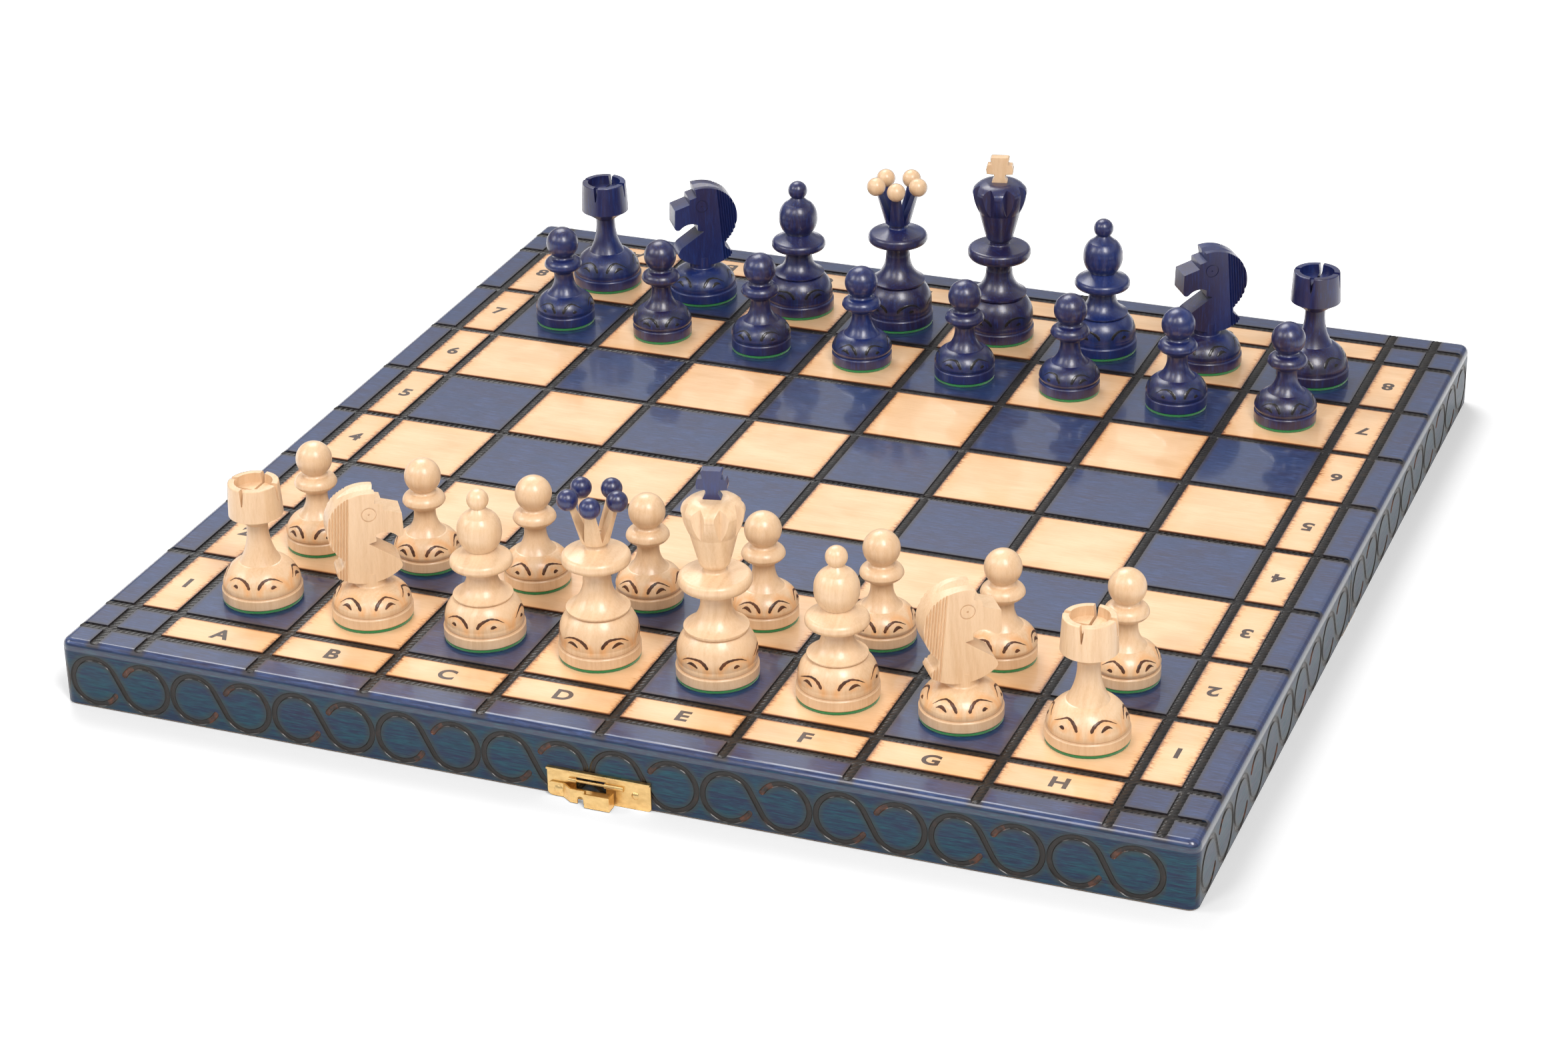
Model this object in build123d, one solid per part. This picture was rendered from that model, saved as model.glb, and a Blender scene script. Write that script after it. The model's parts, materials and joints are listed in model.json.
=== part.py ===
from build123d import *
import math
import os

# Folding chess board with its thirty-two turned pieces. All sizes are in millimetres.
# X runs from file a to file h, Y from rank 1 to rank 8, Z up.
# The seam between ranks 4 and 5 is on Y = 0. The hinge knuckles, which hang a little below
# the rims, touch Z = 0 at the middle of the object, and that is its origin.

# Board
SQUARE = 36.5
FILES = "abcdefgh"
LABEL_BAND = 14.8
OUTER_BAND = 10.7
FIELD_HALF = 4 * SQUARE
LABEL_HALF = FIELD_HALF + LABEL_BAND
BOARD_HALF = LABEL_HALF + OUTER_BAND
HEIGHT = 21.2
PANEL_THICK = 3.4
WALL_THICK = 8.0
WALL_HEIGHT = HEIGHT - PANEL_THICK
SEAM_GAP = 0.3
EDGE_ROUND = 2.4
CORNER_ROUND = 3.0
RIM_CHAMFER = 0.6
LINE_WIDTH = 3.0
LINE_DEPTH = 0.45
LINE_MARGIN = 2.2
SEAM_BEVEL = 0.35
SCORE_AWAY = 2.6
SCORE_WIDTH = 0.4
SCORE_DEPTH = 0.3

# Burned scrolls on the outer faces of the walls: each stroke runs over two circles
SCROLL_R = 7.4
SCROLL_PITCH = 16.6
SCROLL_Z = 9.0
SCROLL_WIDTH = 1.7
SCROLL_DEPTH = 0.5
SCROLL_OPEN = 30.0
SCROLL_FIRST = -160.7
SCROLL_STROKES = 10
SIDE_SCROLL_FIRST = 11.0
SIDE_SCROLL_STROKES = 5

# Hinges: two small butt hinges let into the rims of the seam walls
KNUCKLE_R = 1.0
PIN_R = 0.5
PIN_CLEARANCE = 0.05
AXIS_DROP = SEAM_GAP / 2
RIM_Z = KNUCKLE_R + AXIS_DROP
HINGE_X = 95.0
HINGE_LENGTH = 24.0
KNUCKLES = 5
KNUCKLE_GAP = 0.1
LEAF_THICK = 0.6
LEAF_EDGE = 7.2
LEAF_START = 1.25
POCKET_R = 1.2
NAIL_R = 0.6
NAIL_LENGTH = 6.0
NAIL_HEAD_R = 1.15
HINGE_NAIL_X = 8.0
HINGE_NAIL_Y = 4.4

# Clasp on the front wall. Its own numbers count from the wall's face and from the rim.
CLASP_HALF = 15.7
CLASP_HEIGHT = 9.0
SHEET = 0.5
LIP_DEPTH = 0.8
CLASP_PROUD = 4.8
SHEET_CORNER = 1.2
LIP_HEIGHT = 0.75
LIP_ROUND = 0.3
WINDOW = (-6.9, 2.2, 3.2, 6.9)
AXLE_Z = 5.9
AXLE_OUT = SHEET + 0.1
AXLE_R = 0.45
AXLE_ENDS = (-8.4, 7.2)
BARREL_R = 0.85
BARRELS = ((-8.9, -6.6), (1.9, 7.6))
PIVOT_X = -12.1
PIVOT_Z = 2.4
PIVOT_R = 0.7
RIVET_HEAD_R = 1.35
RIVET_DOME = 0.5
LEVER_LOW = 0.25
LEVER_TOP = 4.55
LEVER_FIRST = 0.65
LEVER_MIDDLE = 2.75
TAB_LEFT = -2.4
TAB_RIGHT = 4.3
FLANGE_END = 1.4
NOTCH_ALONG = 7.5
NOTCH_BELOW = 0.8
NOTCH_R = 0.95
NAIL_SPOT = (11.0, 4.3)
NAIL_DOME = 0.55
WALL_NAIL_LENGTH = 5.0

# Keeper on the back wall
STUD_R = 0.8
STUD_HEAD_R = 1.5
STUD_HEAD = 1.2
STUD_UP = 2.2
KEEPER_HALF = 7.0
KEEPER_LOW = 0.3
KEEPER_TOP = 7.3
KEEPER_NAIL = (4.6, 5.3)

# Pieces
FELT = 0.9
FELT_INSET = 0.35
MAJOR_R = 12.0
PAWN_R = 10.1
BASE_TOP = 3.9
GROOVE_Z = 4.45
GROOVE_CUT = 0.55
KNIGHT_THICK = 8.5
KNIGHT_TURN = 35.0
EYE_R = 2.1
EYE_AT = (0.4, 34.8)
MANE_FLUTES = 7
MANE_PITCH = 0.85
MANE_FIRST = -11.3
MANE_DEPTH = 0.55
MANE_LEAN = 4.4
KING_FLUTES = 8
FLUTE_R = 6.95
FLUTE_HALF_ANGLE = 50
QUEEN_PRONGS = 5
PEARL_R = 3.1
PEARL_RING = 7.45
PEARL_Z = 50.25
CROSS_THICK = 3.0
VIEW_TURN = 21.7

TOP_Z = RIM_Z + HEIGHT


def span_box(low, high):
    """A box between two corners."""
    size = [b - a for a, b in zip(low, high)]
    middle = [(a + b) / 2 for a, b in zip(low, high)]
    return Pos(*middle) * Box(*size)


def rod(radius, start, end):
    """A round bar from one point to another."""
    way = Vector(*end) - Vector(*start)
    face = Plane(origin=start, z_dir=way) * Circle(radius)
    return extrude(face, amount=way.length)


def save(name, *solids):
    """Writes one node, which may hold several separate solids."""
    flat = []
    for item in solids:
        flat.extend(item.solids())
    shape = flat[0] if len(flat) == 1 else Compound(children=flat)
    shape.label = name
    export_step(shape, os.path.join("parts", name + ".step"))


# ---------------------------------------------------------------- board


def line_places():
    """Distances from the middle of the board of the burned lines, in both directions."""
    inner = [SQUARE * i for i in range(-4, 5)]
    return [-LABEL_HALF] + inner + [LABEL_HALF]


def mirror_half(shape, side):
    """Side -1 is the front half as it is built, and side 1 is the back half."""
    return shape if side < 0 else mirror(shape, about=Plane.XZ)


def panel(side):
    """The plywood playing panel of one half, with its outer edges rounded and the lines sunk."""
    low = (-BOARD_HALF, -BOARD_HALF, WALL_HEIGHT)
    blank = span_box(low, (BOARD_HALF, -SEAM_GAP / 2, HEIGHT))
    uprights = blank.edges().filter_by(Axis.Z).group_by(Axis.Y)[0]
    blank = fillet(uprights, CORNER_ROUND)
    rim = blank.faces().sort_by(Axis.Z)[-1].edges()
    rim = [e for e in rim if e.center().Y < -SEAM_GAP]
    blank = fillet(rim, EDGE_ROUND)
    reach = BOARD_HALF - LINE_MARGIN
    cuts = []
    for place in line_places():
        cuts.append(line_cutter((place, -reach), (place, reach)))
        if place <= 0:
            cuts.append(line_cutter((-reach, place), (reach, place)))
    return mirror_half(blank - cuts, side)


def line_cutter(start, end):
    """The channel of one burned line, with round ends, down from the board's top."""
    across = end[0] - start[0] + LINE_WIDTH
    along = end[1] - start[1] + LINE_WIDTH
    outline = RectangleRounded(across, along, LINE_WIDTH / 2 - 0.01)
    middle = Pos((start[0] + end[0]) / 2, (start[1] + end[1]) / 2, HEIGHT - LINE_DEPTH)
    return middle * extrude(outline, amount=1 + LINE_DEPTH)


def scroll(start):
    """The stroke over two neighbouring circles, with X along the wall and Y up from the rim."""
    lean = math.degrees(math.acos(2 * SCROLL_R / SCROLL_PITCH))
    sweep = 360 - SCROLL_OPEN - lean
    first = CenterArc((start, SCROLL_Z), SCROLL_R, lean, sweep)
    second = CenterArc((start + SCROLL_PITCH, SCROLL_Z), SCROLL_R, 180 + lean, sweep)
    across = Line(first @ 0, second @ 0)
    stroke = Sketch() + [trace(edge, SCROLL_WIDTH) for edge in (first, across, second)]
    for end in (first @ 0, first @ 1, second @ 0, second @ 1):
        stroke += Pos(end.X, end.Y) * Circle(SCROLL_WIDTH / 2)
    return stroke


def scroll_cutters(face, starts):
    """The grooves of a row of strokes on one outer face of the walls."""
    grooves = []
    for start in starts:
        stroke = Pos(face.z_dir * 1.0) * (face * scroll(start))
        grooves.append(extrude(stroke, amount=1.0 + SCROLL_DEPTH, dir=-face.z_dir))
    return grooves


def wall_face(out):
    """The plane of an outer face of the walls, with X to the right as it is looked at."""
    right = (-out[1], out[0], 0)
    return Plane(origin=Vector(*out) * BOARD_HALF, x_dir=right, z_dir=out)


def carve(wall, side):
    """Sinks the scrolls in whatever a wall shows of the outer faces."""
    step = 2 * SCROLL_PITCH
    long_starts = [SCROLL_FIRST + step * i for i in range(SCROLL_STROKES)]
    first, count = SIDE_SCROLL_FIRST, SIDE_SCROLL_STROKES
    near = [first + step * i for i in range(count)]
    far = [-first - SCROLL_PITCH - step * i for i in range(count)]
    rows = [((0, side, 0), long_starts)]
    rows.append(((1, 0, 0), near if side > 0 else far))
    rows.append(((-1, 0, 0), far if side > 0 else near))
    bounds = wall.bounding_box()
    for out, starts in rows:
        for groove in scroll_cutters(wall_face(out), starts):
            box = groove.bounding_box()
            apart = box.min.Y > bounds.max.Y or box.max.Y < bounds.min.Y
            if not (apart or box.min.X > bounds.max.X or box.max.X < bounds.min.X):
                wall -= groove
    return wall


def outer_wall(side):
    """The long wall opposite the seam."""
    low = (-BOARD_HALF, -BOARD_HALF, 0)
    wall = span_box(low, (BOARD_HALF, WALL_THICK - BOARD_HALF, WALL_HEIGHT))
    uprights = wall.edges().filter_by(Axis.Z).group_by(Axis.Y)[0]
    wall = fillet(uprights, CORNER_ROUND)
    rim = wall.faces().sort_by(Axis.Z)[0].edges().group_by(Axis.Y)[0]
    wall = chamfer(rim, RIM_CHAMFER)
    return carve(mirror_half(wall, side), side)


def side_wall(side, hand):
    """A short wall between the outer wall and the seam wall, on the left or the right."""
    inner = BOARD_HALF - WALL_THICK
    low = (inner, WALL_THICK - BOARD_HALF, 0)
    wall = span_box(low, (BOARD_HALF, -SEAM_GAP / 2 - WALL_THICK, WALL_HEIGHT))
    rim = wall.faces().sort_by(Axis.Z)[0].edges().sort_by(Axis.X)[-1]
    wall = chamfer(rim, RIM_CHAMFER)
    if hand < 0:
        wall = mirror(wall, about=Plane.YZ)
    return carve(mirror_half(wall, side), side)


def seam_wall(side):
    """The wall along the seam, with its pockets for the hinges and a scored line by the seam."""
    back = -SEAM_GAP / 2
    wall = span_box((-BOARD_HALF, back - WALL_THICK, 0), (BOARD_HALF, back, WALL_HEIGHT))
    wall = chamfer(wall.edges().filter_by(Axis.Z).group_by(Axis.Y)[-1], SEAM_BEVEL)
    for x in (-BOARD_HALF, BOARD_HALF):
        wall -= Pos(x, -SCORE_AWAY, 0) * Box(2 * SCORE_DEPTH, SCORE_WIDTH, 4 * HEIGHT)
    half = HINGE_LENGTH / 2 + KNUCKLE_GAP
    for x in (-HINGE_X, HINGE_X):
        wall -= span_box((x - half, -LEAF_EDGE, -1), (x + half, 1, LEAF_THICK))
        wall -= rod(POCKET_R, (x - half, 0, -AXIS_DROP), (x + half, 0, -AXIS_DROP))
        for nail_x in (x - HINGE_NAIL_X, x + HINGE_NAIL_X):
            wall -= rod(NAIL_R, (nail_x, -HINGE_NAIL_Y, -1), (nail_x, -HINGE_NAIL_Y, NAIL_LENGTH))
    return carve(mirror_half(wall, side), side)


# ---------------------------------------------------------------- hinges


def knuckle_spans(side):
    """The stretches of one leaf's knuckles, counted from the hinge's middle."""
    pitch = HINGE_LENGTH / KNUCKLES
    first = 1 if side < 0 else 0
    for i in range(first, KNUCKLES, 2):
        start = -HINGE_LENGTH / 2 + i * pitch
        yield start + KNUCKLE_GAP / 2, start + pitch - KNUCKLE_GAP / 2


def hinge_leaf(side, x):
    """One leaf with its rolled knuckles, drawn on the front side of the seam."""
    half = HINGE_LENGTH / 2
    leaf = span_box((x - half, -LEAF_EDGE + 0.02, 0), (x + half, -LEAF_START, LEAF_THICK))
    bore = PIN_R if side < 0 else PIN_R + PIN_CLEARANCE
    for start, end in knuckle_spans(side):
        leaf += span_box((x + start, -LEAF_START - 0.1, 0), (x + end, -0.6, LEAF_THICK))
        leaf += rod(KNUCKLE_R, (x + start, 0, -AXIS_DROP), (x + end, 0, -AXIS_DROP))
    leaf -= rod(bore, (x - half - 1, 0, -AXIS_DROP), (x + half + 1, 0, -AXIS_DROP))
    for nail_x in (x - HINGE_NAIL_X, x + HINGE_NAIL_X):
        spot = (nail_x, -HINGE_NAIL_Y)
        leaf -= rod(NAIL_R, (*spot, -1), (*spot, LEAF_THICK + 1))
        leaf -= Pos(*spot, LEAF_THICK / 2) * nail_head()
    return mirror_half(leaf, side)


def nail_head():
    """The sunk head of a hinge nail, widest at the open face of the leaf."""
    return Cone(NAIL_HEAD_R, NAIL_R, LEAF_THICK)


def hinge_nails(side):
    """The nails of both leaves of one half."""
    nails = []
    for x in (-HINGE_X, HINGE_X):
        for nail_x in (x - HINGE_NAIL_X, x + HINGE_NAIL_X):
            nail = Pos(nail_x, -HINGE_NAIL_Y, LEAF_THICK / 2) * nail_head()
            nail += rod(NAIL_R, (nail_x, -HINGE_NAIL_Y, 0), (nail_x, -HINGE_NAIL_Y, NAIL_LENGTH))
            nails.append(mirror_half(nail, side))
    return nails


def hinge_pin(x):
    """The wire pin of one hinge."""
    half = HINGE_LENGTH / 2
    return rod(PIN_R, (x - half, 0, -AXIS_DROP), (x + half, 0, -AXIS_DROP))


# ---------------------------------------------------------------- clasp


def on_front(shape):
    """Takes a shape drawn with Y as the distance out of the wall to the front wall's face."""
    return Pos(0, -BOARD_HALF, 0) * mirror(shape, about=Plane.XZ)


def on_back(shape):
    """Takes a shape drawn with Y as the distance out of the wall to the back wall's face."""
    return Pos(0, BOARD_HALF, 0) * shape


def wall_nail(spot):
    """A small nail with a domed head, driven through sheet metal into a wall."""
    x, z = spot
    shank = rod(NAIL_R, (x, -WALL_NAIL_LENGTH, z), (x, SHEET + 0.1, z))
    head = Pos(x, SHEET, z) * Rot(-90, 0, 0) * dome(NAIL_HEAD_R, NAIL_DOME)
    return shank + head


def dome(radius, height):
    """A low round cap that stands on Z = 0."""
    ball = (radius ** 2 + height ** 2) / (2 * height)
    cap = Pos(0, 0, height - ball) * Sphere(ball)
    return cap & (Pos(0, 0, height) * Box(4 * ball, 4 * ball, 2 * height))


def latch_plate():
    """The fixed plate of the clasp: a folded lip, a window, and two rolled barrels for the axle."""
    plate = span_box((-CLASP_HALF, 0, 0), (CLASP_HALF, SHEET, CLASP_HEIGHT))
    corners = plate.edges().filter_by(Axis.Y).group_by(Axis.Z)[0]
    plate = fillet(corners, SHEET_CORNER)
    lip_low = CLASP_HEIGHT - LIP_HEIGHT
    lip = span_box((-CLASP_HALF, 0, lip_low), (CLASP_HALF, SHEET + LIP_DEPTH, CLASP_HEIGHT))
    plate += fillet(lip.edges().filter_by(Axis.X).group_by(Axis.Y)[-1], LIP_ROUND)
    left, right, low, high = WINDOW
    plate -= span_box((left, -1, low), (right, SHEET + 1, high))
    for start, end in BARRELS:
        barrel = rod(BARREL_R, (start, SHEET, AXLE_Z), (end, SHEET, AXLE_Z))
        plate += barrel & span_box((start, 0, 0), (end, 3, CLASP_HEIGHT))
    nail_x, nail_z = NAIL_SPOT
    plate -= axle_rod()
    plate -= rod(NAIL_R, (nail_x, -1, nail_z), (nail_x, 2, nail_z))
    plate -= rod(PIVOT_R, (PIVOT_X, -1, PIVOT_Z), (PIVOT_X, 2, PIVOT_Z))
    return on_front(plate)


def axle_rod():
    """The wire across the window of the clasp plate, from the wall's face."""
    start, end = AXLE_ENDS
    return rod(AXLE_R, (start, AXLE_OUT, AXLE_Z), (end, AXLE_OUT, AXLE_Z))


def latch_rivet():
    """The pivot of the lever. It also holds the left end of the clasp plate to the wall."""
    out = LEVER_FIRST + SHEET + 0.05
    shank = rod(PIVOT_R, (PIVOT_X, -WALL_NAIL_LENGTH, PIVOT_Z), (PIVOT_X, out + 0.1, PIVOT_Z))
    head = Pos(PIVOT_X, out, PIVOT_Z) * Rot(-90, 0, 0) * dome(RIVET_HEAD_R, RIVET_DOME)
    return on_front(shank + head)


def latch_lever():
    """The bent strip that turns on the rivet, with its thumb tab and the notch for the stud."""
    outer = [
        (PIVOT_X - 3.3, LEVER_FIRST),
        (PIVOT_X + 1.6, LEVER_FIRST),
        (PIVOT_X + 4.6, LEVER_MIDDLE),
        (TAB_LEFT - 0.5, LEVER_MIDDLE),
        (TAB_LEFT, CLASP_PROUD - SHEET),
        (TAB_RIGHT, CLASP_PROUD - SHEET),
        (TAB_RIGHT, FLANGE_END),
    ]
    path = Polyline(*[(x, y) for x, y in outer])
    band = offset(path, amount=SHEET, side=Side.LEFT, kind=Kind.INTERSECTION)
    strip = extrude(make_face(band), amount=LEVER_TOP - LEVER_LOW)
    strip = Pos(0, 0, LEVER_LOW) * strip
    end = strip.edges().filter_by(Axis.Y).group_by(Axis.X)[0]
    strip = fillet(end, 1.6)
    notch_x = PIVOT_X + NOTCH_ALONG
    notch_z = PIVOT_Z - NOTCH_BELOW
    strip -= rod(NOTCH_R, (notch_x, LEVER_MIDDLE - 1, notch_z), (notch_x, LEVER_MIDDLE + 1.5, notch_z))
    low = (notch_x - NOTCH_R, LEVER_MIDDLE - 1, -1)
    strip -= span_box(low, (notch_x + NOTCH_R, LEVER_MIDDLE + 1.5, notch_z))
    strip -= rod(PIVOT_R + PIN_CLEARANCE, (PIVOT_X, -1, PIVOT_Z), (PIVOT_X, 3, PIVOT_Z))
    return on_front(strip)


def latch_swing():
    """How far the lever turns down to take the stud, in degrees, and the stud's place along X."""
    arm = math.hypot(NOTCH_ALONG, NOTCH_BELOW)
    lead = math.atan2(NOTCH_BELOW, NOTCH_ALONG)
    drop = PIVOT_Z + SEAM_GAP + STUD_UP
    turn = math.asin(drop / arm) - lead
    return math.degrees(turn), PIVOT_X + arm * math.cos(turn + lead)


def keeper_plate(stud_x):
    """The plate on the back wall that carries the stud."""
    plate = span_box((stud_x - KEEPER_HALF, 0, KEEPER_LOW), (stud_x + KEEPER_HALF, SHEET, KEEPER_TOP))
    plate = fillet(plate.edges().filter_by(Axis.Y), SHEET_CORNER)
    plate -= rod(STUD_R, (stud_x, -1, STUD_UP), (stud_x, 1, STUD_UP))
    for x in (stud_x - KEEPER_NAIL[0], stud_x + KEEPER_NAIL[0]):
        plate -= rod(NAIL_R, (x, -1, KEEPER_NAIL[1]), (x, 1, KEEPER_NAIL[1]))
    return on_back(plate)


def keeper_stud(stud_x):
    """The headed stud that the lever's notch drops over."""
    neck = rod(STUD_R, (stud_x, -WALL_NAIL_LENGTH, STUD_UP), (stud_x, CLASP_PROUD - 0.6, STUD_UP))
    start = CLASP_PROUD - STUD_HEAD
    head = rod(STUD_HEAD_R, (stud_x, start, STUD_UP), (stud_x, CLASP_PROUD, STUD_UP))
    head = fillet(head.edges().group_by(Axis.Y)[-1], 0.4)
    return on_back(neck + head)


def drill(wall, holes, face):
    """Makes the nail holes of the metalwork in a wall. Each hole is (x, z, radius)."""
    for x, z, radius in holes:
        wall -= face(rod(radius, (x, -WALL_NAIL_LENGTH, z), (x, 1, z)))
    return wall


# ---------------------------------------------------------------- turned pieces


def lathe(*steps):
    """Turns an outline about Z. A step is (r, z), reached by a straight cut, or (r, z, bow),
    reached by an arc that bows outwards by that much, or inwards if it is negative."""
    here = (0, steps[0][1])
    edges = []
    for step in steps:
        there = (step[0], step[1])
        bow = step[2] if len(step) > 2 else 0
        if bow:
            along = (there[0] - here[0], there[1] - here[1])
            length = math.hypot(*along)
            middle_r = (here[0] + there[0]) / 2 + bow * along[1] / length
            middle_z = (here[1] + there[1]) / 2 - bow * along[0] / length
            edges.append(ThreePointArc(here, (middle_r, middle_z), there))
        else:
            edges.append(Line(here, there))
        here = there
    if here[0] > 0:
        edges.append(Line(here, (0, here[1])))
        here = (0, here[1])
    edges.append(Line(here, (0, steps[0][1])))
    face = make_face(Plane.XZ * Curve(edges))
    return revolve(face, Axis.Z)


def ball_top(start_r, start_z, radius):
    """The last step of an outline that ends in a ball, from where the ball begins to its top."""
    centre = start_z + math.sqrt(radius ** 2 - start_r ** 2)
    half_turn = (math.pi / 2 + math.acos(start_r / radius)) / 2
    return (0, centre + radius, radius * (1 - math.cos(half_turn)))


def base_steps(radius):
    """The foot ring and the groove above it, which every piece has."""
    return [
        (radius - 0.35, FELT),
        (radius, FELT + 0.4, 0.08),
        (radius, BASE_TOP),
        (radius - GROOVE_CUT, GROOVE_Z, 0.1),
        (radius - GROOVE_CUT, GROOVE_Z + 0.1),
    ]


def felt_pad(radius):
    """The felt disc glued under a piece."""
    return Pos(0, 0, FELT / 2) * Cylinder(radius - FELT_INSET, FELT)


def pawn():
    wood = lathe(
        *base_steps(PAWN_R),
        (PAWN_R, 5.9, 0.15),
        (6.4, 10.6, 0.75),
        (6.0, 10.7),
        (3.35, 17.8, -0.9),
        (4.5, 19.4, -0.3),
        (6.5, 21.0, 0.35),
        (3.9, 23.6, 0.75),
        (3.3, 24.5, -0.15),
        ball_top(3.3, 24.5, 5.5),
    )
    return wood, felt_pad(PAWN_R)


def rook():
    wood = lathe(
        *base_steps(MAJOR_R),
        (11.5, 6.2, 0.1),
        (6.5, 12.4, 0.9),
        (6.1, 12.5),
        (3.2, 22.6, -0.7),
        (3.2, 24.4),
        (8.1, 27.8, -0.15),
        (7.55, 37.6, 0.05),
        (7.2, 38.0, 0.1),
        (5.65, 38.0),
        (5.65, 35.0),
    )
    for turn in (0, 90):
        notch = Plane.XZ * Polygon((-0.75, 38.2), (0.75, 38.2), (0.2, 33.0), (-0.2, 33.0), align=None)
        wood -= Rot(0, 0, turn) * extrude(notch, amount=12, both=True)
    return wood, felt_pad(MAJOR_R)


def bishop():
    wood = lathe(
        *base_steps(MAJOR_R),
        (11.5, 6.2, 0.1),
        (7.9, 13.2, 1.1),
        (8.6, 13.3),
        (8.75, 13.9, 0.1),
        (4.5, 19.6, -1.0),
        (4.9, 22.0, -0.35),
        (8.2, 22.8, -0.1),
        (9.2, 24.5, 0.4),
        (8.0, 26.0, 0.3),
        (4.3, 28.2, -0.1),
        (6.5, 34.2, 0.75),
        (4.6, 38.9, 0.55),
        (2.0, 41.2, -0.15),
        ball_top(2.0, 41.2, 3.2),
    )
    return wood, felt_pad(MAJOR_R)


def queen():
    wood = lathe(
        *base_steps(MAJOR_R),
        (11.5, 6.2, 0.1),
        (8.2, 15.1, 1.3),
        (9.1, 15.2),
        (9.3, 15.9, 0.1),
        (4.1, 24.8, -1.5),
        (4.6, 28.8, -0.4),
        (9.1, 29.7, -0.1),
        (10.0, 31.6, 0.4),
        (8.9, 33.2, 0.3),
        (3.6, 34.8, -0.1),
        (3.2, 35.3, -0.1),
        (3.2, 36.0),
        (4.15, 36.6, 0.1),
        (7.15, 47.6),
        (5.15, 47.9),
        (2.2, 39.5),
    )
    for i in range(QUEEN_PRONGS):
        gap = Plane.XZ * Polygon((0, 37.4), (3.1, 48.5), (-3.1, 48.5), align=None)
        turn = queen_turn() + 360 / QUEEN_PRONGS * (i + 0.5)
        wood -= Rot(0, 0, turn) * extrude(gap, amount=12, dir=(0, -1, 0))
    return wood, felt_pad(MAJOR_R)


def queen_turn():
    """The turn that brings one prong near the front as the set is seen from its front right."""
    return VIEW_TURN - 6.0


def pearls():
    """The five balls on the queen's prongs, each cupped over the end of its prong."""
    balls = []
    for i in range(QUEEN_PRONGS):
        place = Rot(0, 0, queen_turn() + 360 / QUEEN_PRONGS * i) * Pos(0, -PEARL_RING, PEARL_Z)
        balls.append(place * Sphere(PEARL_R))
    return balls


def king():
    wood = lathe(
        *base_steps(MAJOR_R),
        (11.5, 6.2, 0.1),
        (8.3, 15.2, 1.3),
        (9.2, 15.3),
        (9.4, 16.2, 0.1),
        (4.4, 24.2, -1.4),
        (4.9, 27.8, -0.4),
        (9.6, 28.7, -0.1),
        (10.56, 31.2, 0.4),
        (9.4, 32.6, 0.3),
        (3.7, 33.4, -0.1),
        (3.3, 34.0, -0.1),
        (3.3, 34.7),
        (4.66, 36.9, 0.3),
        (6.8, 45.2, 0.05),
        (8.9, 51.6, 0.35),
        (8.2, 54.2, 0.45),
        (4.6, 56.0, 0.35),
        (3.6, 56.0),
    )
    for i in range(KING_FLUTES):
        side = 4.0 * math.tan(math.radians(FLUTE_HALF_ANGLE))
        groove = Polygon((FLUTE_R, 0), (FLUTE_R + 4, side), (FLUTE_R + 4, -side), align=None)
        turn = VIEW_TURN - 90 + 360 / KING_FLUTES * (i + 0.35)
        wood -= Rot(0, 0, turn) * Pos(0, 0, 44) * extrude(groove, amount=14, dir=(0, 0, 1))
    return wood, felt_pad(MAJOR_R)


def king_cross(turn):
    """The sawn cross glued on the king's crown."""
    half = [
        (2.8, 56.0),
        (1.7, 57.9),
        (1.9, 58.9),
        (4.3, 59.1),
        (4.5, 60.6),
        (4.1, 62.2),
        (2.6, 62.3),
        (3.1, 64.4),
        (2.7, 64.8),
    ]
    outline = half + [(-x, z) for x, z in reversed(half)]
    face = Plane.XZ * Polygon(*outline, align=None)
    cross = extrude(face, amount=CROSS_THICK / 2, both=True)
    cross = fillet(cross.edges().filter_by(Axis.Y), 0.25)
    return Rot(0, 0, turn) * cross


# ---------------------------------------------------------------- knight


def knight_outline():
    """The sawn outline of the horse head, with the nose towards +X."""
    edges = [
        Line((2.6, 41.2), (2.1, 38.3)),
        Line((2.1, 38.3), (4.6, 37.6)),
        Line((4.6, 37.6), (4.7, 35.8)),
        Line((4.7, 35.8), (10.0, 34.1)),
        Line((10.0, 34.1), (10.2, 28.0)),
        ThreePointArc((10.2, 28.0), (9.6, 26.9), (8.2, 27.1)),
        ThreePointArc((8.2, 27.1), (6.2, 28.4), (3.3, 28.6)),
        Line((3.3, 28.6), (2.0, 28.0)),
        Line((2.0, 28.0), (2.1, 26.0)),
        Line((2.1, 26.0), (-0.2, 25.4)),
        Line((-0.2, 25.4), (7.4, 20.3)),
        ThreePointArc((7.4, 20.3), (8.5, 19.2), (9.3, 17.3)),
        Line((9.3, 17.3), (8.9, 16.5)),
        ThreePointArc((8.9, 16.5), (-1.7, 12.7), (-9.5, 15.2)),
        ThreePointArc((-9.5, 15.2), (-10.0, 16.6), (-9.0, 17.7)),
        ThreePointArc((-9.0, 17.7), (-7.7, 19.8), (-8.3, 21.5)),
        ThreePointArc((-8.3, 21.5), (-12.0, 30.5), (-9.0, 38.1)),
        ThreePointArc((-9.0, 38.1), (-4.0, 40.9), (2.6, 41.2)),
    ]
    return make_face(Plane.XZ * Curve(edges))


def mane_cutter(x, out):
    """One V groove of the mane on the cheek at Y = out, running the whole height of the head."""
    half = MANE_PITCH * 0.45
    deep = math.copysign(MANE_DEPTH, out)
    corners = [(-half, out + deep), (half, out + deep), (half, out), (0, out - deep), (-half, out)]
    vee = extrude(Polygon(*corners, align=None), amount=22, both=True)
    return Pos(x, 0, 30) * Rot(0, MANE_LEAN, 0) * vee


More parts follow.
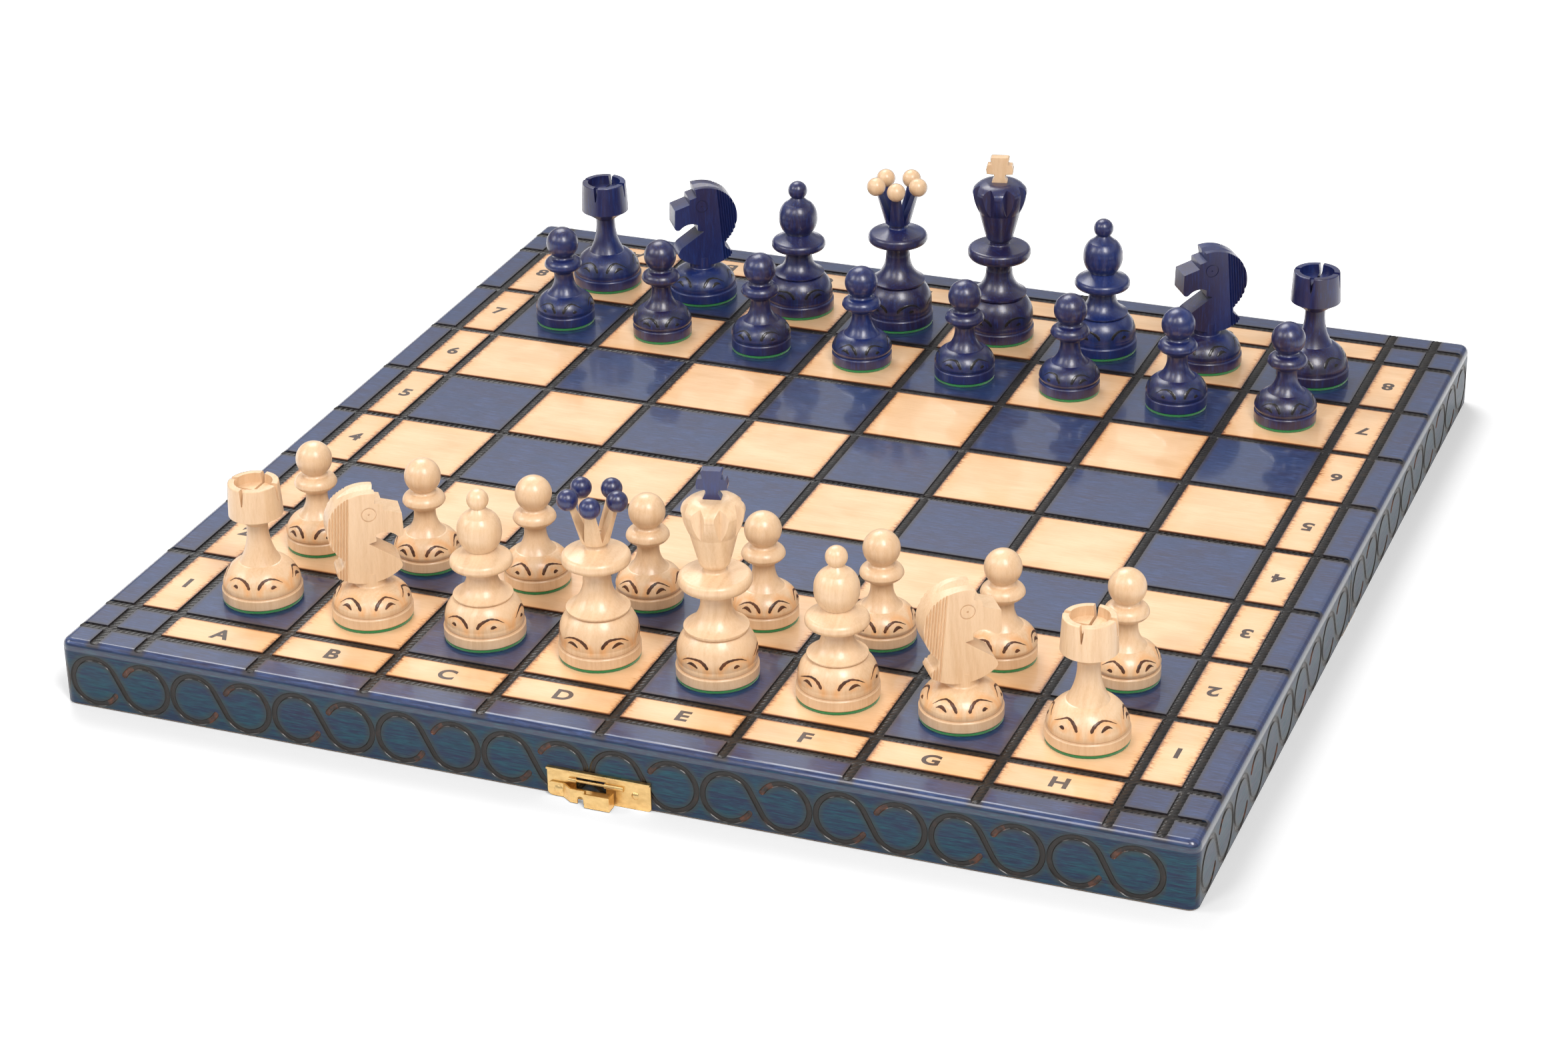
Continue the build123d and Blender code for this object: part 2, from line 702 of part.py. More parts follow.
def knight_head():
    """The sawn horse head with its ears, eyes and mane."""
    head = extrude(knight_outline(), amount=KNIGHT_THICK / 2, both=True)
    cheek = KNIGHT_THICK / 2
    ears = Plane.YZ * Polygon((0.6, 38.6), (2.9, 42.2), (-1.7, 42.2), align=None)
    head -= Pos(-8.0, 0, 0) * extrude(ears, amount=14, dir=(1, 0, 0))
    for out in (-cheek, cheek):
        for i in range(MANE_FLUTES):
            head -= mane_cutter(MANE_FIRST + MANE_PITCH * i, out)
        at = Pos(EYE_AT[0], out, EYE_AT[1]) * Rot(90, 0, 0)
        head -= at * (Cylinder(EYE_R + 0.17, 0.5) - Cylinder(EYE_R - 0.17, 1))
        head -= at * Cylinder(0.3, 0.6)
    return head


def knight(facing):
    """A turned foot with the head on it, the nose turned to the given direction."""
    wood = lathe(
        *base_steps(MAJOR_R),
        (11.5, 6.2, 0.1),
        (4.9, 11.0, 1.3),
        (4.4, 11.6, -0.15),
        (4.4, 15.5),
    )
    return Rot(0, 0, facing) * (wood + knight_head()), felt_pad(MAJOR_R)


# ---------------------------------------------------------------- the set


def place_piece(name, shape, file, rank):
    """Stands a piece on its square and writes it."""
    x = (file + 0.5) * SQUARE - FIELD_HALF
    y = (rank + 0.5) * SQUARE - FIELD_HALF
    spot = Pos(x, y, TOP_Z)
    save(name, *[spot * item for item in shape])


def write_pieces():
    shapes = {"rook": rook(), "bishop": bishop(), "queen": queen(), "king": king(), "pawn": pawn()}
    officers = ["rook", "knight", "bishop", "queen", "king", "bishop", "knight", "rook"]
    for colour, rank, pawn_rank in (("white", 0, 1), ("blue", 7, 6)):
        facing = KNIGHT_TURN if colour == "white" else 180 + KNIGHT_TURN
        shapes["knight"] = knight(facing)
        for file, kind in enumerate(officers):
            name = f"{colour}_{kind}"
            if kind not in ("king", "queen"):
                name += f"_{FILES[file]}"
            place_piece(name, shapes[kind], file, rank)
            place_piece(f"{colour}_pawn_{FILES[file]}", shapes["pawn"], file, pawn_rank)
        place_piece(f"{colour}_king_cross", [king_cross(-VIEW_TURN + 35)], 4, rank)
        crown = shapes["queen"][0]
        place_piece(f"{colour}_queen_pearls", [ball - crown for ball in pearls()], 3, rank)


def write_board():
    lift = Pos(0, 0, RIM_Z)
    turn, stud_x = latch_swing()
    print("latch turn", round(turn, 3), "stud at", round(stud_x, 3))
    for side, name in ((-1, "front"), (1, "back")):
        wall = outer_wall(side)
        if side < 0:
            holes = [(PIVOT_X, PIVOT_Z, PIVOT_R), (*NAIL_SPOT, NAIL_R)]
            wall = drill(wall, holes, on_front)
        else:
            spots = (stud_x - KEEPER_NAIL[0], stud_x + KEEPER_NAIL[0])
            holes = [(x, KEEPER_NAIL[1], NAIL_R) for x in spots]
            wall = drill(wall, holes + [(stud_x, STUD_UP, STUD_R)], on_back)
        save(f"{name}_playing_panel", lift * panel(side))
        save(f"{name}_outer_wall", lift * wall)
        save(f"{name}_seam_wall", lift * seam_wall(side))
        save(f"{name}_left_wall", lift * side_wall(side, -1))
        save(f"{name}_right_wall", lift * side_wall(side, 1))
        leaves = [lift * hinge_leaf(side, x) for x in (-HINGE_X, HINGE_X)]
        save(f"{name}_hinge_leaves", *leaves)
        save(f"{name}_hinge_nails", *[lift * nail for nail in hinge_nails(side)])
    save("hinge_pins", *[lift * hinge_pin(x) for x in (-HINGE_X, HINGE_X)])
    save("latch_plate", lift * latch_plate())
    save("latch_axle", lift * on_front(axle_rod()))
    save("latch_lever", lift * latch_lever())
    save("latch_rivet", lift * latch_rivet())
    save("latch_nail", lift * on_front(wall_nail(NAIL_SPOT)))
    save("keeper_plate", lift * keeper_plate(stud_x))
    save("keeper_stud", lift * keeper_stud(stud_x))
    nail_x = (stud_x - KEEPER_NAIL[0], stud_x + KEEPER_NAIL[0])
    nails = [lift * on_back(wall_nail((x, KEEPER_NAIL[1]))) for x in nail_x]
    save("keeper_nails", *nails)


os.makedirs("parts", exist_ok=True)
write_board()
write_pieces()
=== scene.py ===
import json
import math
import random

import bpy
import numpy as np
from mathutils import Matrix, Vector
from mathutils.bvhtree import BVHTree

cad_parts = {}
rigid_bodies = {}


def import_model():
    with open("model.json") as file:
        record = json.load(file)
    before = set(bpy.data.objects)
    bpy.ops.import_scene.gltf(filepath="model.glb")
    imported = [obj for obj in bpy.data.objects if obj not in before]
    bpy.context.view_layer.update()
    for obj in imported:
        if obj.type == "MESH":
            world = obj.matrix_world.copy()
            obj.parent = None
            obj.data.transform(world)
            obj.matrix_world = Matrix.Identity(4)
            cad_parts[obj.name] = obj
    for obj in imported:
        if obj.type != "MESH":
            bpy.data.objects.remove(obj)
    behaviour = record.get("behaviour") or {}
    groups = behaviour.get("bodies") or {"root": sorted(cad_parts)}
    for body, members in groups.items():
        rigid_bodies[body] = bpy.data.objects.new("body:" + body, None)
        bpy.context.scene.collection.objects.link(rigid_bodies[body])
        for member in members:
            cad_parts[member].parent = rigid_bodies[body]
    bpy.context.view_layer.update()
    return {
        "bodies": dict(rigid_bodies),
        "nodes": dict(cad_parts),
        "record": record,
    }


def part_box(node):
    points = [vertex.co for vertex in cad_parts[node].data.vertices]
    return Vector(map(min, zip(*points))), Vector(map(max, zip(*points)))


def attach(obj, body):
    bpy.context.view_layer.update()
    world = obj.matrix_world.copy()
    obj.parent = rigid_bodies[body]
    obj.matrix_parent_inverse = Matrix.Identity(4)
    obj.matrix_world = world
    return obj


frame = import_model()
MM = 0.001

# Layout of the board, in millimetres, as in the CAD part.
SQUARE = 36.5
LABEL_BAND = 14.8
FIELD_HALF = 4 * SQUARE
LABEL_HALF = FIELD_HALF + LABEL_BAND
BOARD_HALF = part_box("front_playing_panel")[1].x / MM
LINE_HALF = 1.5
LINE_DEPTH = 0.45
LINE_MARGIN = 2.2
EDGE_ROUND = 2.4
SCROLL_R = 7.4
SCROLL_PITCH = 16.6
SCROLL_Z = 9.0
SCROLL_HALF = 0.85
SCROLL_OPEN = 30.0
SCROLL_FIRST = -160.7
SIDE_SCROLL_FIRST = 11.0
FELT = 0.9
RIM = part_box("front_outer_wall")[0].z / MM
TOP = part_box("front_playing_panel")[1].z / MM
VIEW_TURN = 21.7
FELT_INSET = 0.35
PAWN_R = 10.1
MAJOR_R = 12.0
GROOVE_Z = 4.45
SCROLL_STROKES = 10
SIDE_SCROLL_STROKES = 5
SCROLL_LEAN = math.acos(2 * SCROLL_R / SCROLL_PITCH)

# How far in from the outer faces a place counts as the side face, and as the stained edge.
FACE_DEPTH = 0.75
STAINED_EDGE = 2.6
# Added to a distance to rule a place out.
FAR_OFF = 50.0
# Burned lines: spacing of the points along them, length of a tapered end, start next to the seam.
ROPE_STEP = 0.32
ROPE_TAPER = 1.2
SEAM_CLEAR = 0.16
# Rows of points at each end of a scroll that belong to its brown tip.
TIP_ROWS = 14
# Turn of a piece's burn marks, in degrees: the middle and the swing about it, stepped by file and rank.
MARK_TURN = VIEW_TURN - 6
MARK_SWING = 8
SWING_PER_FILE = 2.3
SWING_PER_RANK = 4.1
# Distance outside the axis from which a piece's surface is looked up.
PROBE = 20

# Colours, linear.
PALE = (0.75, 0.52, 0.315)
PALE_DEEP = (0.67, 0.44, 0.25)
PALE_LIGHT = (0.80, 0.58, 0.38)
PLY = (0.84, 0.57, 0.34)
PLY_DEEP = (0.73, 0.45, 0.24)
BLUE = (0.006, 0.018, 0.115)
VIOLET = (0.015, 0.009, 0.046)
BLUE_TOP = (0.012, 0.030, 0.100)
BLUE_TOP_DEEP = (0.020, 0.022, 0.068)
TEAL = (0.002, 0.048, 0.072)
INDIGO = (0.005, 0.014, 0.050)
ORANGE = (0.62, 0.24, 0.055)
BROWN = (0.16, 0.055, 0.022)
CHAR = (0.007, 0.005, 0.004)
FELT_GREEN = (0.010, 0.150, 0.034)

# Brightness of the studio by height of the direction, -1 straight down and 1 straight up.
SKY_LEVELS = (
    (-1.0, 1.25),
    (-0.02, 1.25),
    (0.02, 0.35),
    (0.34, 0.20),
    (0.47, 0.95),
    (0.62, 0.55),
    (0.9, 0.30),
)
# The ramp holds the brightness divided by this, and the background multiplies it again.
SKY_GAIN = 2.0

# Camera, in degrees and metres, and the half width of the studio floor.
CAMERA_AZIMUTH = 21.713
CAMERA_ELEVATION = 26.457
CAMERA_ROLL = -1.180
CAMERA_DISTANCE = 1.125
CAMERA_AIM = (0.001, -0.0313)
CAMERA_LENS = 83.86
FLOOR_HALF = 6.0


# ------------------------------------------------------------ node helpers


class Shade:
    """One material, built from small steps that each return an output socket."""

    def __init__(self, name):
        self.material = bpy.data.materials.new(name)
        self.material.use_nodes = True
        self.tree = self.material.node_tree
        self.tree.nodes.clear()
        self.out = self.tree.nodes.new("ShaderNodeOutputMaterial")
        self.coord = self.tree.nodes.new("ShaderNodeTexCoord")

    def node(self, kind, **settings):
        """A new node with the given settings."""
        made = self.tree.nodes.new(kind)
        for key, value in settings.items():
            setattr(made, key, value)
        return made

    def feed(self, socket, value):
        """Links an output to a socket, or sets the socket's own value."""
        if isinstance(value, bpy.types.NodeSocket):
            self.tree.links.new(value, socket)
        elif isinstance(value, tuple) and len(value) == 3 and len(socket.default_value) == 4:
            socket.default_value = (*value, 1)
        else:
            socket.default_value = value

    def math(self, operation, a, b=None, clamp=False):
        made = self.node("ShaderNodeMath", operation=operation, use_clamp=clamp)
        for socket, value in zip(made.inputs, (a, b)):
            if value is not None:
                self.feed(socket, value)
        return made.outputs[0]

    def add(self, a, b):
        return self.math("ADD", a, b)

    def sub(self, a, b):
        return self.math("SUBTRACT", a, b)

    def mul(self, a, b):
        return self.math("MULTIPLY", a, b)

    def low(self, *parts):
        found = parts[0]
        for other in parts[1:]:
            found = self.math("MINIMUM", found, other)
        return found

    def high(self, *parts):
        found = parts[0]
        for other in parts[1:]:
            found = self.math("MAXIMUM", found, other)
        return found

    def span(self, value, start, end, to_start=0.0, to_end=1.0, smooth=False):
        """Maps start..end to to_start..to_end and stops there."""
        made = self.node("ShaderNodeMapRange", clamp=True)
        if smooth:
            made.interpolation_type = "SMOOTHSTEP"
        for socket, item in zip(made.inputs, (value, start, end, to_start, to_end)):
            self.feed(socket, item)
        return made.outputs[0]

    def split(self, vector):
        made = self.node("ShaderNodeSeparateXYZ")
        self.feed(made.inputs[0], vector)
        return made.outputs

    def join(self, x, y, z):
        made = self.node("ShaderNodeCombineXYZ")
        for socket, value in zip(made.inputs, (x, y, z)):
            self.feed(socket, value)
        return made.outputs[0]

    def place(self):
        """The place on the object at rest, in millimetres, as three sockets."""
        made = self.node("ShaderNodeVectorMath", operation="SCALE")
        self.feed(made.inputs[0], self.coord.outputs["Object"])
        made.inputs["Scale"].default_value = 1 / MM
        return self.split(made.outputs[0])

    def noise(self, vector, detail=3.0, roughness=0.55, distortion=0.0, scale=1.0):
        made = self.node("ShaderNodeTexNoise")
        self.feed(made.inputs["Vector"], vector)
        made.inputs["Scale"].default_value = scale
        made.inputs["Detail"].default_value = detail
        made.inputs["Roughness"].default_value = roughness
        made.inputs["Distortion"].default_value = distortion
        return made.outputs["Fac"]

    def mix(self, factor, first, second):
        made = self.node("ShaderNodeMix", data_type="RGBA")
        made.clamp_factor = True
        self.feed(made.inputs[0], factor)
        self.feed(made.inputs[6], first)
        self.feed(made.inputs[7], second)
        return made.outputs[2]

    def bump(self, height, distance, strength):
        made = self.node("ShaderNodeBump")
        made.inputs["Strength"].default_value = strength
        made.inputs["Distance"].default_value = distance * MM
        self.feed(made.inputs["Height"], height)
        return made.outputs[0]

    def shader(self, colour, roughness, normal=None, **constants):
        made = self.node("ShaderNodeBsdfPrincipled")
        self.feed(made.inputs["Base Color"], colour)
        self.feed(made.inputs["Roughness"], roughness)
        if normal is not None:
            self.feed(made.inputs["Normal"], normal)
        for key, value in constants.items():
            made.inputs[key.replace("_", " ")].default_value = value
        return made

    def finish(self, shader):
        self.tree.links.new(shader.outputs[0], self.out.inputs["Surface"])
        return self.material


# ------------------------------------------------------------ materials


def line_distance(s, along):
    """Distance from the nearest burned line that crosses the given direction, in millimetres."""
    cell = s.math("FRACT", s.add(s.mul(along, 1 / SQUARE), 100.5))
    inner = s.mul(s.math("ABSOLUTE", s.sub(cell, 0.5)), SQUARE)
    outer = s.math("ABSOLUTE", s.sub(s.math("ABSOLUTE", along), LABEL_HALF))
    return s.low(inner, outer)


def natural_mask(s, x, y):
    """1 on the natural squares and on the coordinate bands, 0 on stained ground."""
    ax, ay = s.math("ABSOLUTE", x), s.math("ABSOLUTE", y)
    files = s.math("FLOOR", s.mul(x, 1 / SQUARE))
    ranks = s.math("FLOOR", s.mul(y, 1 / SQUARE))
    odd = s.math("MODULO", s.add(s.add(files, ranks), 100), 2.0)
    in_x, in_y = s.math("LESS_THAN", ax, FIELD_HALF), s.math("LESS_THAN", ay, FIELD_HALF)
    near_x, near_y = s.math("LESS_THAN", ax, LABEL_HALF), s.math("LESS_THAN", ay, LABEL_HALF)
    field = s.mul(s.mul(in_x, in_y), s.math("GREATER_THAN", odd, 0.5))
    band_x = s.mul(s.mul(in_y, near_x), s.sub(1.0, in_x))
    band_y = s.mul(s.mul(in_x, near_y), s.sub(1.0, in_y))
    return s.high(field, band_x, band_y)


def edge_stain(s, x, y, up):
    """The stain of the outer faces: colour, grain, fine streaks, and 1 on the left and right faces."""
    on_side = s.math("GREATER_THAN", s.math("ABSOLUTE", x), BOARD_HALF - FACE_DEPTH)
    along = s.add(s.mul(y, on_side), s.mul(x, s.sub(1.0, on_side)))
    grain = s.noise(s.join(s.mul(along, 0.040), s.mul(up, 0.85), s.mul(on_side, 30.0)), 5.0, 0.62, 0.9)
    fine = s.noise(s.join(s.mul(along, 0.22), s.mul(up, 2.6), 5.0), 3.0, 0.62)
    cloud = s.noise(s.join(s.mul(along, 0.05), s.mul(up, 0.12), 9.0), 2.0, 0.5)
    middle = s.span(s.math("ABSOLUTE", s.sub(up, SCROLL_Z)), 4.5, 10.0, 1.0, 0.0, smooth=True)
    teal = s.mul(s.span(grain, 0.40, 0.60), s.add(s.mul(middle, 0.72), 0.18))
    stain = s.mix(teal, INDIGO, TEAL)
    stain = s.mix(s.mul(s.span(cloud, 0.45, 0.7), 0.45), stain, (0.016, 0.014, 0.055))
    stain = s.mix(s.mul(s.span(fine, 0.50, 0.66), 0.50), stain, (0.006, 0.085, 0.110))
    stain = s.mix(s.mul(s.span(fine, 0.34, 0.47, 1.0, 0.0), 0.65), stain, (0.003, 0.008, 0.028))
    return stain, grain, fine, on_side


def plywood():
    """The playing panel: natural and stained fields, scorched along the burned lines."""
    s = Shade("burned_plywood_varnish")
    x, y, z = s.place()
    natural = natural_mask(s, x, y)
    inset = s.high(s.math("ABSOLUTE", x), s.math("ABSOLUTE", y))
    out_x = s.math("MAXIMUM", s.sub(line_distance(s, x), LINE_HALF), 0.0)
    out_y = s.math("MAXIMUM", s.sub(line_distance(s, y), LINE_HALF), 0.0)
    fibre = s.noise(s.join(s.mul(x, 0.14), s.mul(y, 1.9), 0.0), 4.0, 0.68)
    fine = s.noise(s.join(s.mul(x, 0.40), s.mul(y, 4.2), 3.0), 2.0, 0.6)
    cloud = s.noise(s.join(s.mul(x, 0.045), s.mul(y, 0.09), 7.0), 3.0, 0.5, 0.4)
    figure = s.noise(s.join(s.mul(x, 0.02), s.mul(y, 0.5), 11.0), 3.0, 0.5, 0.6)

    wood = s.mix(s.span(cloud, 0.32, 0.7), PLY, PLY_DEEP)
    wood = s.mix(s.mul(s.span(figure, 0.5, 0.75), 0.35), wood, (0.86, 0.62, 0.38))
    wood = s.mix(s.mul(s.span(fibre, 0.45, 0.75), 0.30), wood, (0.60, 0.32, 0.13))
    wood = s.mix(s.mul(s.span(fine, 0.60, 0.75), 0.25), wood, (0.48, 0.24, 0.10))

    reach = s.add(s.mul(s.math("POWER", s.span(fine, 0.34, 0.70), 1.8), 4.6), 0.35)
    streak = s.math("SUBTRACT", 1.0, s.math("DIVIDE", out_x, reach), clamp=True)
    edge = s.span(out_y, 0.0, s.add(s.mul(cloud, 1.1), 0.15), 1.0, 0.0)
    glow = s.span(s.low(out_x, s.mul(out_y, 1.15)), 0.0, 8.5, 1.0, 0.0)
    glow = s.mul(s.mul(glow, glow), s.span(cloud, 0.3, 0.65, 0.25, 0.60))
    wood = s.mix(glow, wood, (0.80, 0.42, 0.16))
    burn = s.high(s.mul(streak, streak), s.mul(edge, 0.72))
    wood = s.mix(s.span(burn, 0.02, 0.35), wood, ORANGE)
    wood = s.mix(s.span(burn, 0.25, 0.65), wood, BROWN)
    wood = s.mix(s.span(burn, 0.76, 1.0), wood, CHAR)

    stain = s.mix(s.span(cloud, 0.35, 0.68), BLUE_TOP, BLUE_TOP_DEEP)
    stain = s.mix(s.mul(s.span(fibre, 0.47, 0.64), 0.85), stain, (0.034, 0.066, 0.190))
    stain = s.mix(s.mul(s.span(fine, 0.54, 0.68), 0.65), stain, (0.004, 0.006, 0.030))
    singe = s.span(s.low(out_x, out_y), 0.0, s.add(s.mul(fibre, 2.4), 0.2), 1.0, 0.0)
    stain = s.mix(s.mul(singe, 0.8), stain, (0.030, 0.022, 0.018))
    top = s.mix(natural, stain, wood)
    facing = s.split(s.coord.outputs["Normal"])[2]
    sunk = s.math("LESS_THAN", z, TOP - 0.3)
    lines = s.low(line_distance(s, x), line_distance(s, y))
    in_line = s.mul(s.math("LESS_THAN", lines, LINE_HALF + 0.02), sunk)
    level = s.math("GREATER_THAN", facing, 0.98)
    within = s.math("LESS_THAN", inset, BOARD_HALF - STAINED_EDGE)
    top = s.mix(s.mul(in_line, s.high(level, within)), top, CHAR)
    side = edge_stain(s, x, y, s.sub(z, RIM))[0]
    top = s.mix(s.span(facing, 0.30, 0.62, 1.0, 0.0), top, s.mix(within, side, top))
    inside = s.math("LESS_THAN", facing, -0.5)
    bare = s.mix(s.span(figure, 0.35, 0.7), (0.72, 0.50, 0.29), (0.58, 0.36, 0.17))
    bare = s.mix(s.mul(s.span(fibre, 0.5, 0.7), 0.4), bare, (0.42, 0.24, 0.10))
    colour = s.mix(inside, top, bare)
    rough = s.span(fibre, 0.3, 0.7, 0.30, 0.44)
    height = s.add(s.mul(fibre, 0.7), s.mul(fine, 0.3))
    normal = s.bump(height, 0.035, 0.8)
    shader = s.shader(colour, rough, normal, Coat_Weight=0.85, Coat_Roughness=0.09, IOR=1.45)
    return s.finish(shader)


def scroll_distance(s, along, up, start):
    """Distance from the middle of the nearest burned stroke of a wall's row of scrolls."""
    step = 2 * SCROLL_PITCH
    half = step / 2
    moved = s.sub(along, start + SCROLL_PITCH / 2)
    local = s.sub(s.math("MODULO", s.add(moved, 20 * step + half), step), half)
    rise = s.sub(up, SCROLL_Z)
    parts = []
    for hand in (-1, 1):
        # hand -1 is the first circle; the second is the same stroke turned half round
        px = s.mul(s.sub(local, hand * SCROLL_PITCH / 2), -hand)
        pz = s.mul(rise, -hand)
        ring = s.math("ABSOLUTE", s.sub(s.math("SQRT", s.add(s.mul(px, px), s.mul(pz, pz))), SCROLL_R))
        angle = s.math("ARCTAN2", pz, px)
        gap = s.mul(
            s.math("GREATER_THAN", angle, -math.radians(SCROLL_OPEN)),
            s.math("LESS_THAN", angle, SCROLL_LEAN),
        )
        parts.append(s.add(ring, s.mul(gap, FAR_OFF)))
    tx, tz = math.sin(SCROLL_LEAN), -math.cos(SCROLL_LEAN)
    away = s.math("ABSOLUTE", s.sub(s.mul(local, tz), s.mul(rise, tx)))
    on = s.math("ABSOLUTE", s.add(s.mul(local, tx), s.mul(rise, tz)))
    reach = SCROLL_R * math.tan(SCROLL_LEAN)
    parts.append(s.add(away, s.math("MAXIMUM", s.sub(on, reach), 0.0)))
    return s.low(*parts)


def wall_wood():
    """The walls: blue-green stain with horizontal grain outside, bare wood inside and on the rims."""
    s = Shade("stained_wall_varnish")
    x, y, z = s.place()
    up = s.sub(z, RIM)
    ax, ay = s.math("ABSOLUTE", x), s.math("ABSOLUTE", y)
    stain, grain, fine, on_side = edge_stain(s, x, y, up)
    front_x = s.mul(x, s.mul(s.math("SIGN", y), -1.0))
    front = scroll_distance(s, front_x, up, SCROLL_FIRST)
    last = SCROLL_FIRST + (2 * SCROLL_STROKES - 0.5) * SCROLL_PITCH
    front = s.add(front, s.mul(s.math("GREATER_THAN", front_x, last), FAR_OFF))
    side = s.mul(y, s.math("SIGN", x))
    near = scroll_distance(s, side, up, SIDE_SCROLL_FIRST)
    far = scroll_distance(s, side, up, -SIDE_SCROLL_FIRST - SCROLL_PITCH)
    ahead = s.math("GREATER_THAN", side, 0.0)
    flank = s.add(s.mul(near, ahead), s.mul(far, s.sub(1.0, ahead)))
    stroke = s.add(s.mul(flank, on_side), s.mul(front, s.sub(1.0, on_side)))
    halo = s.span(s.sub(stroke, SCROLL_HALF), 0.0, s.add(s.mul(fine, 2.2), 0.5), 1.0, 0.0)
    stain = s.mix(s.mul(halo, 0.65), stain, (0.030, 0.034, 0.024))
    core = s.math("LESS_THAN", stroke, SCROLL_HALF)
    stain = s.mix(core, stain, (0.012, 0.008, 0.006))

    depth = s.low(s.sub(BOARD_HALF, ax), s.sub(BOARD_HALF, ay))
    bare_zone = s.high(s.math("GREATER_THAN", depth, 1.3), s.math("LESS_THAN", up, 0.25))
    bare = s.mix(s.span(grain, 0.4, 0.62), (0.72, 0.52, 0.32), (0.55, 0.34, 0.17))
    bare = s.mix(s.mul(s.span(fine, 0.5, 0.7), 0.4), bare, (0.40, 0.23, 0.11))
    colour = s.mix(bare_zone, stain, bare)
    rough = s.span(fine, 0.3, 0.7, 0.32, 0.46)
    normal = s.bump(s.add(fine, s.mul(grain, 0.6)), 0.05, 0.8)
    shader = s.shader(colour, rough, normal, Coat_Weight=0.12, Coat_Roughness=0.22, IOR=1.36)
    return s.finish(shader)


def motif_turn(column, row):
    """How far the burn marks of the piece on a square are turned about its axis, in degrees."""
    return MARK_TURN + MARK_SWING * math.sin(SWING_PER_FILE * column + SWING_PER_RANK * row)


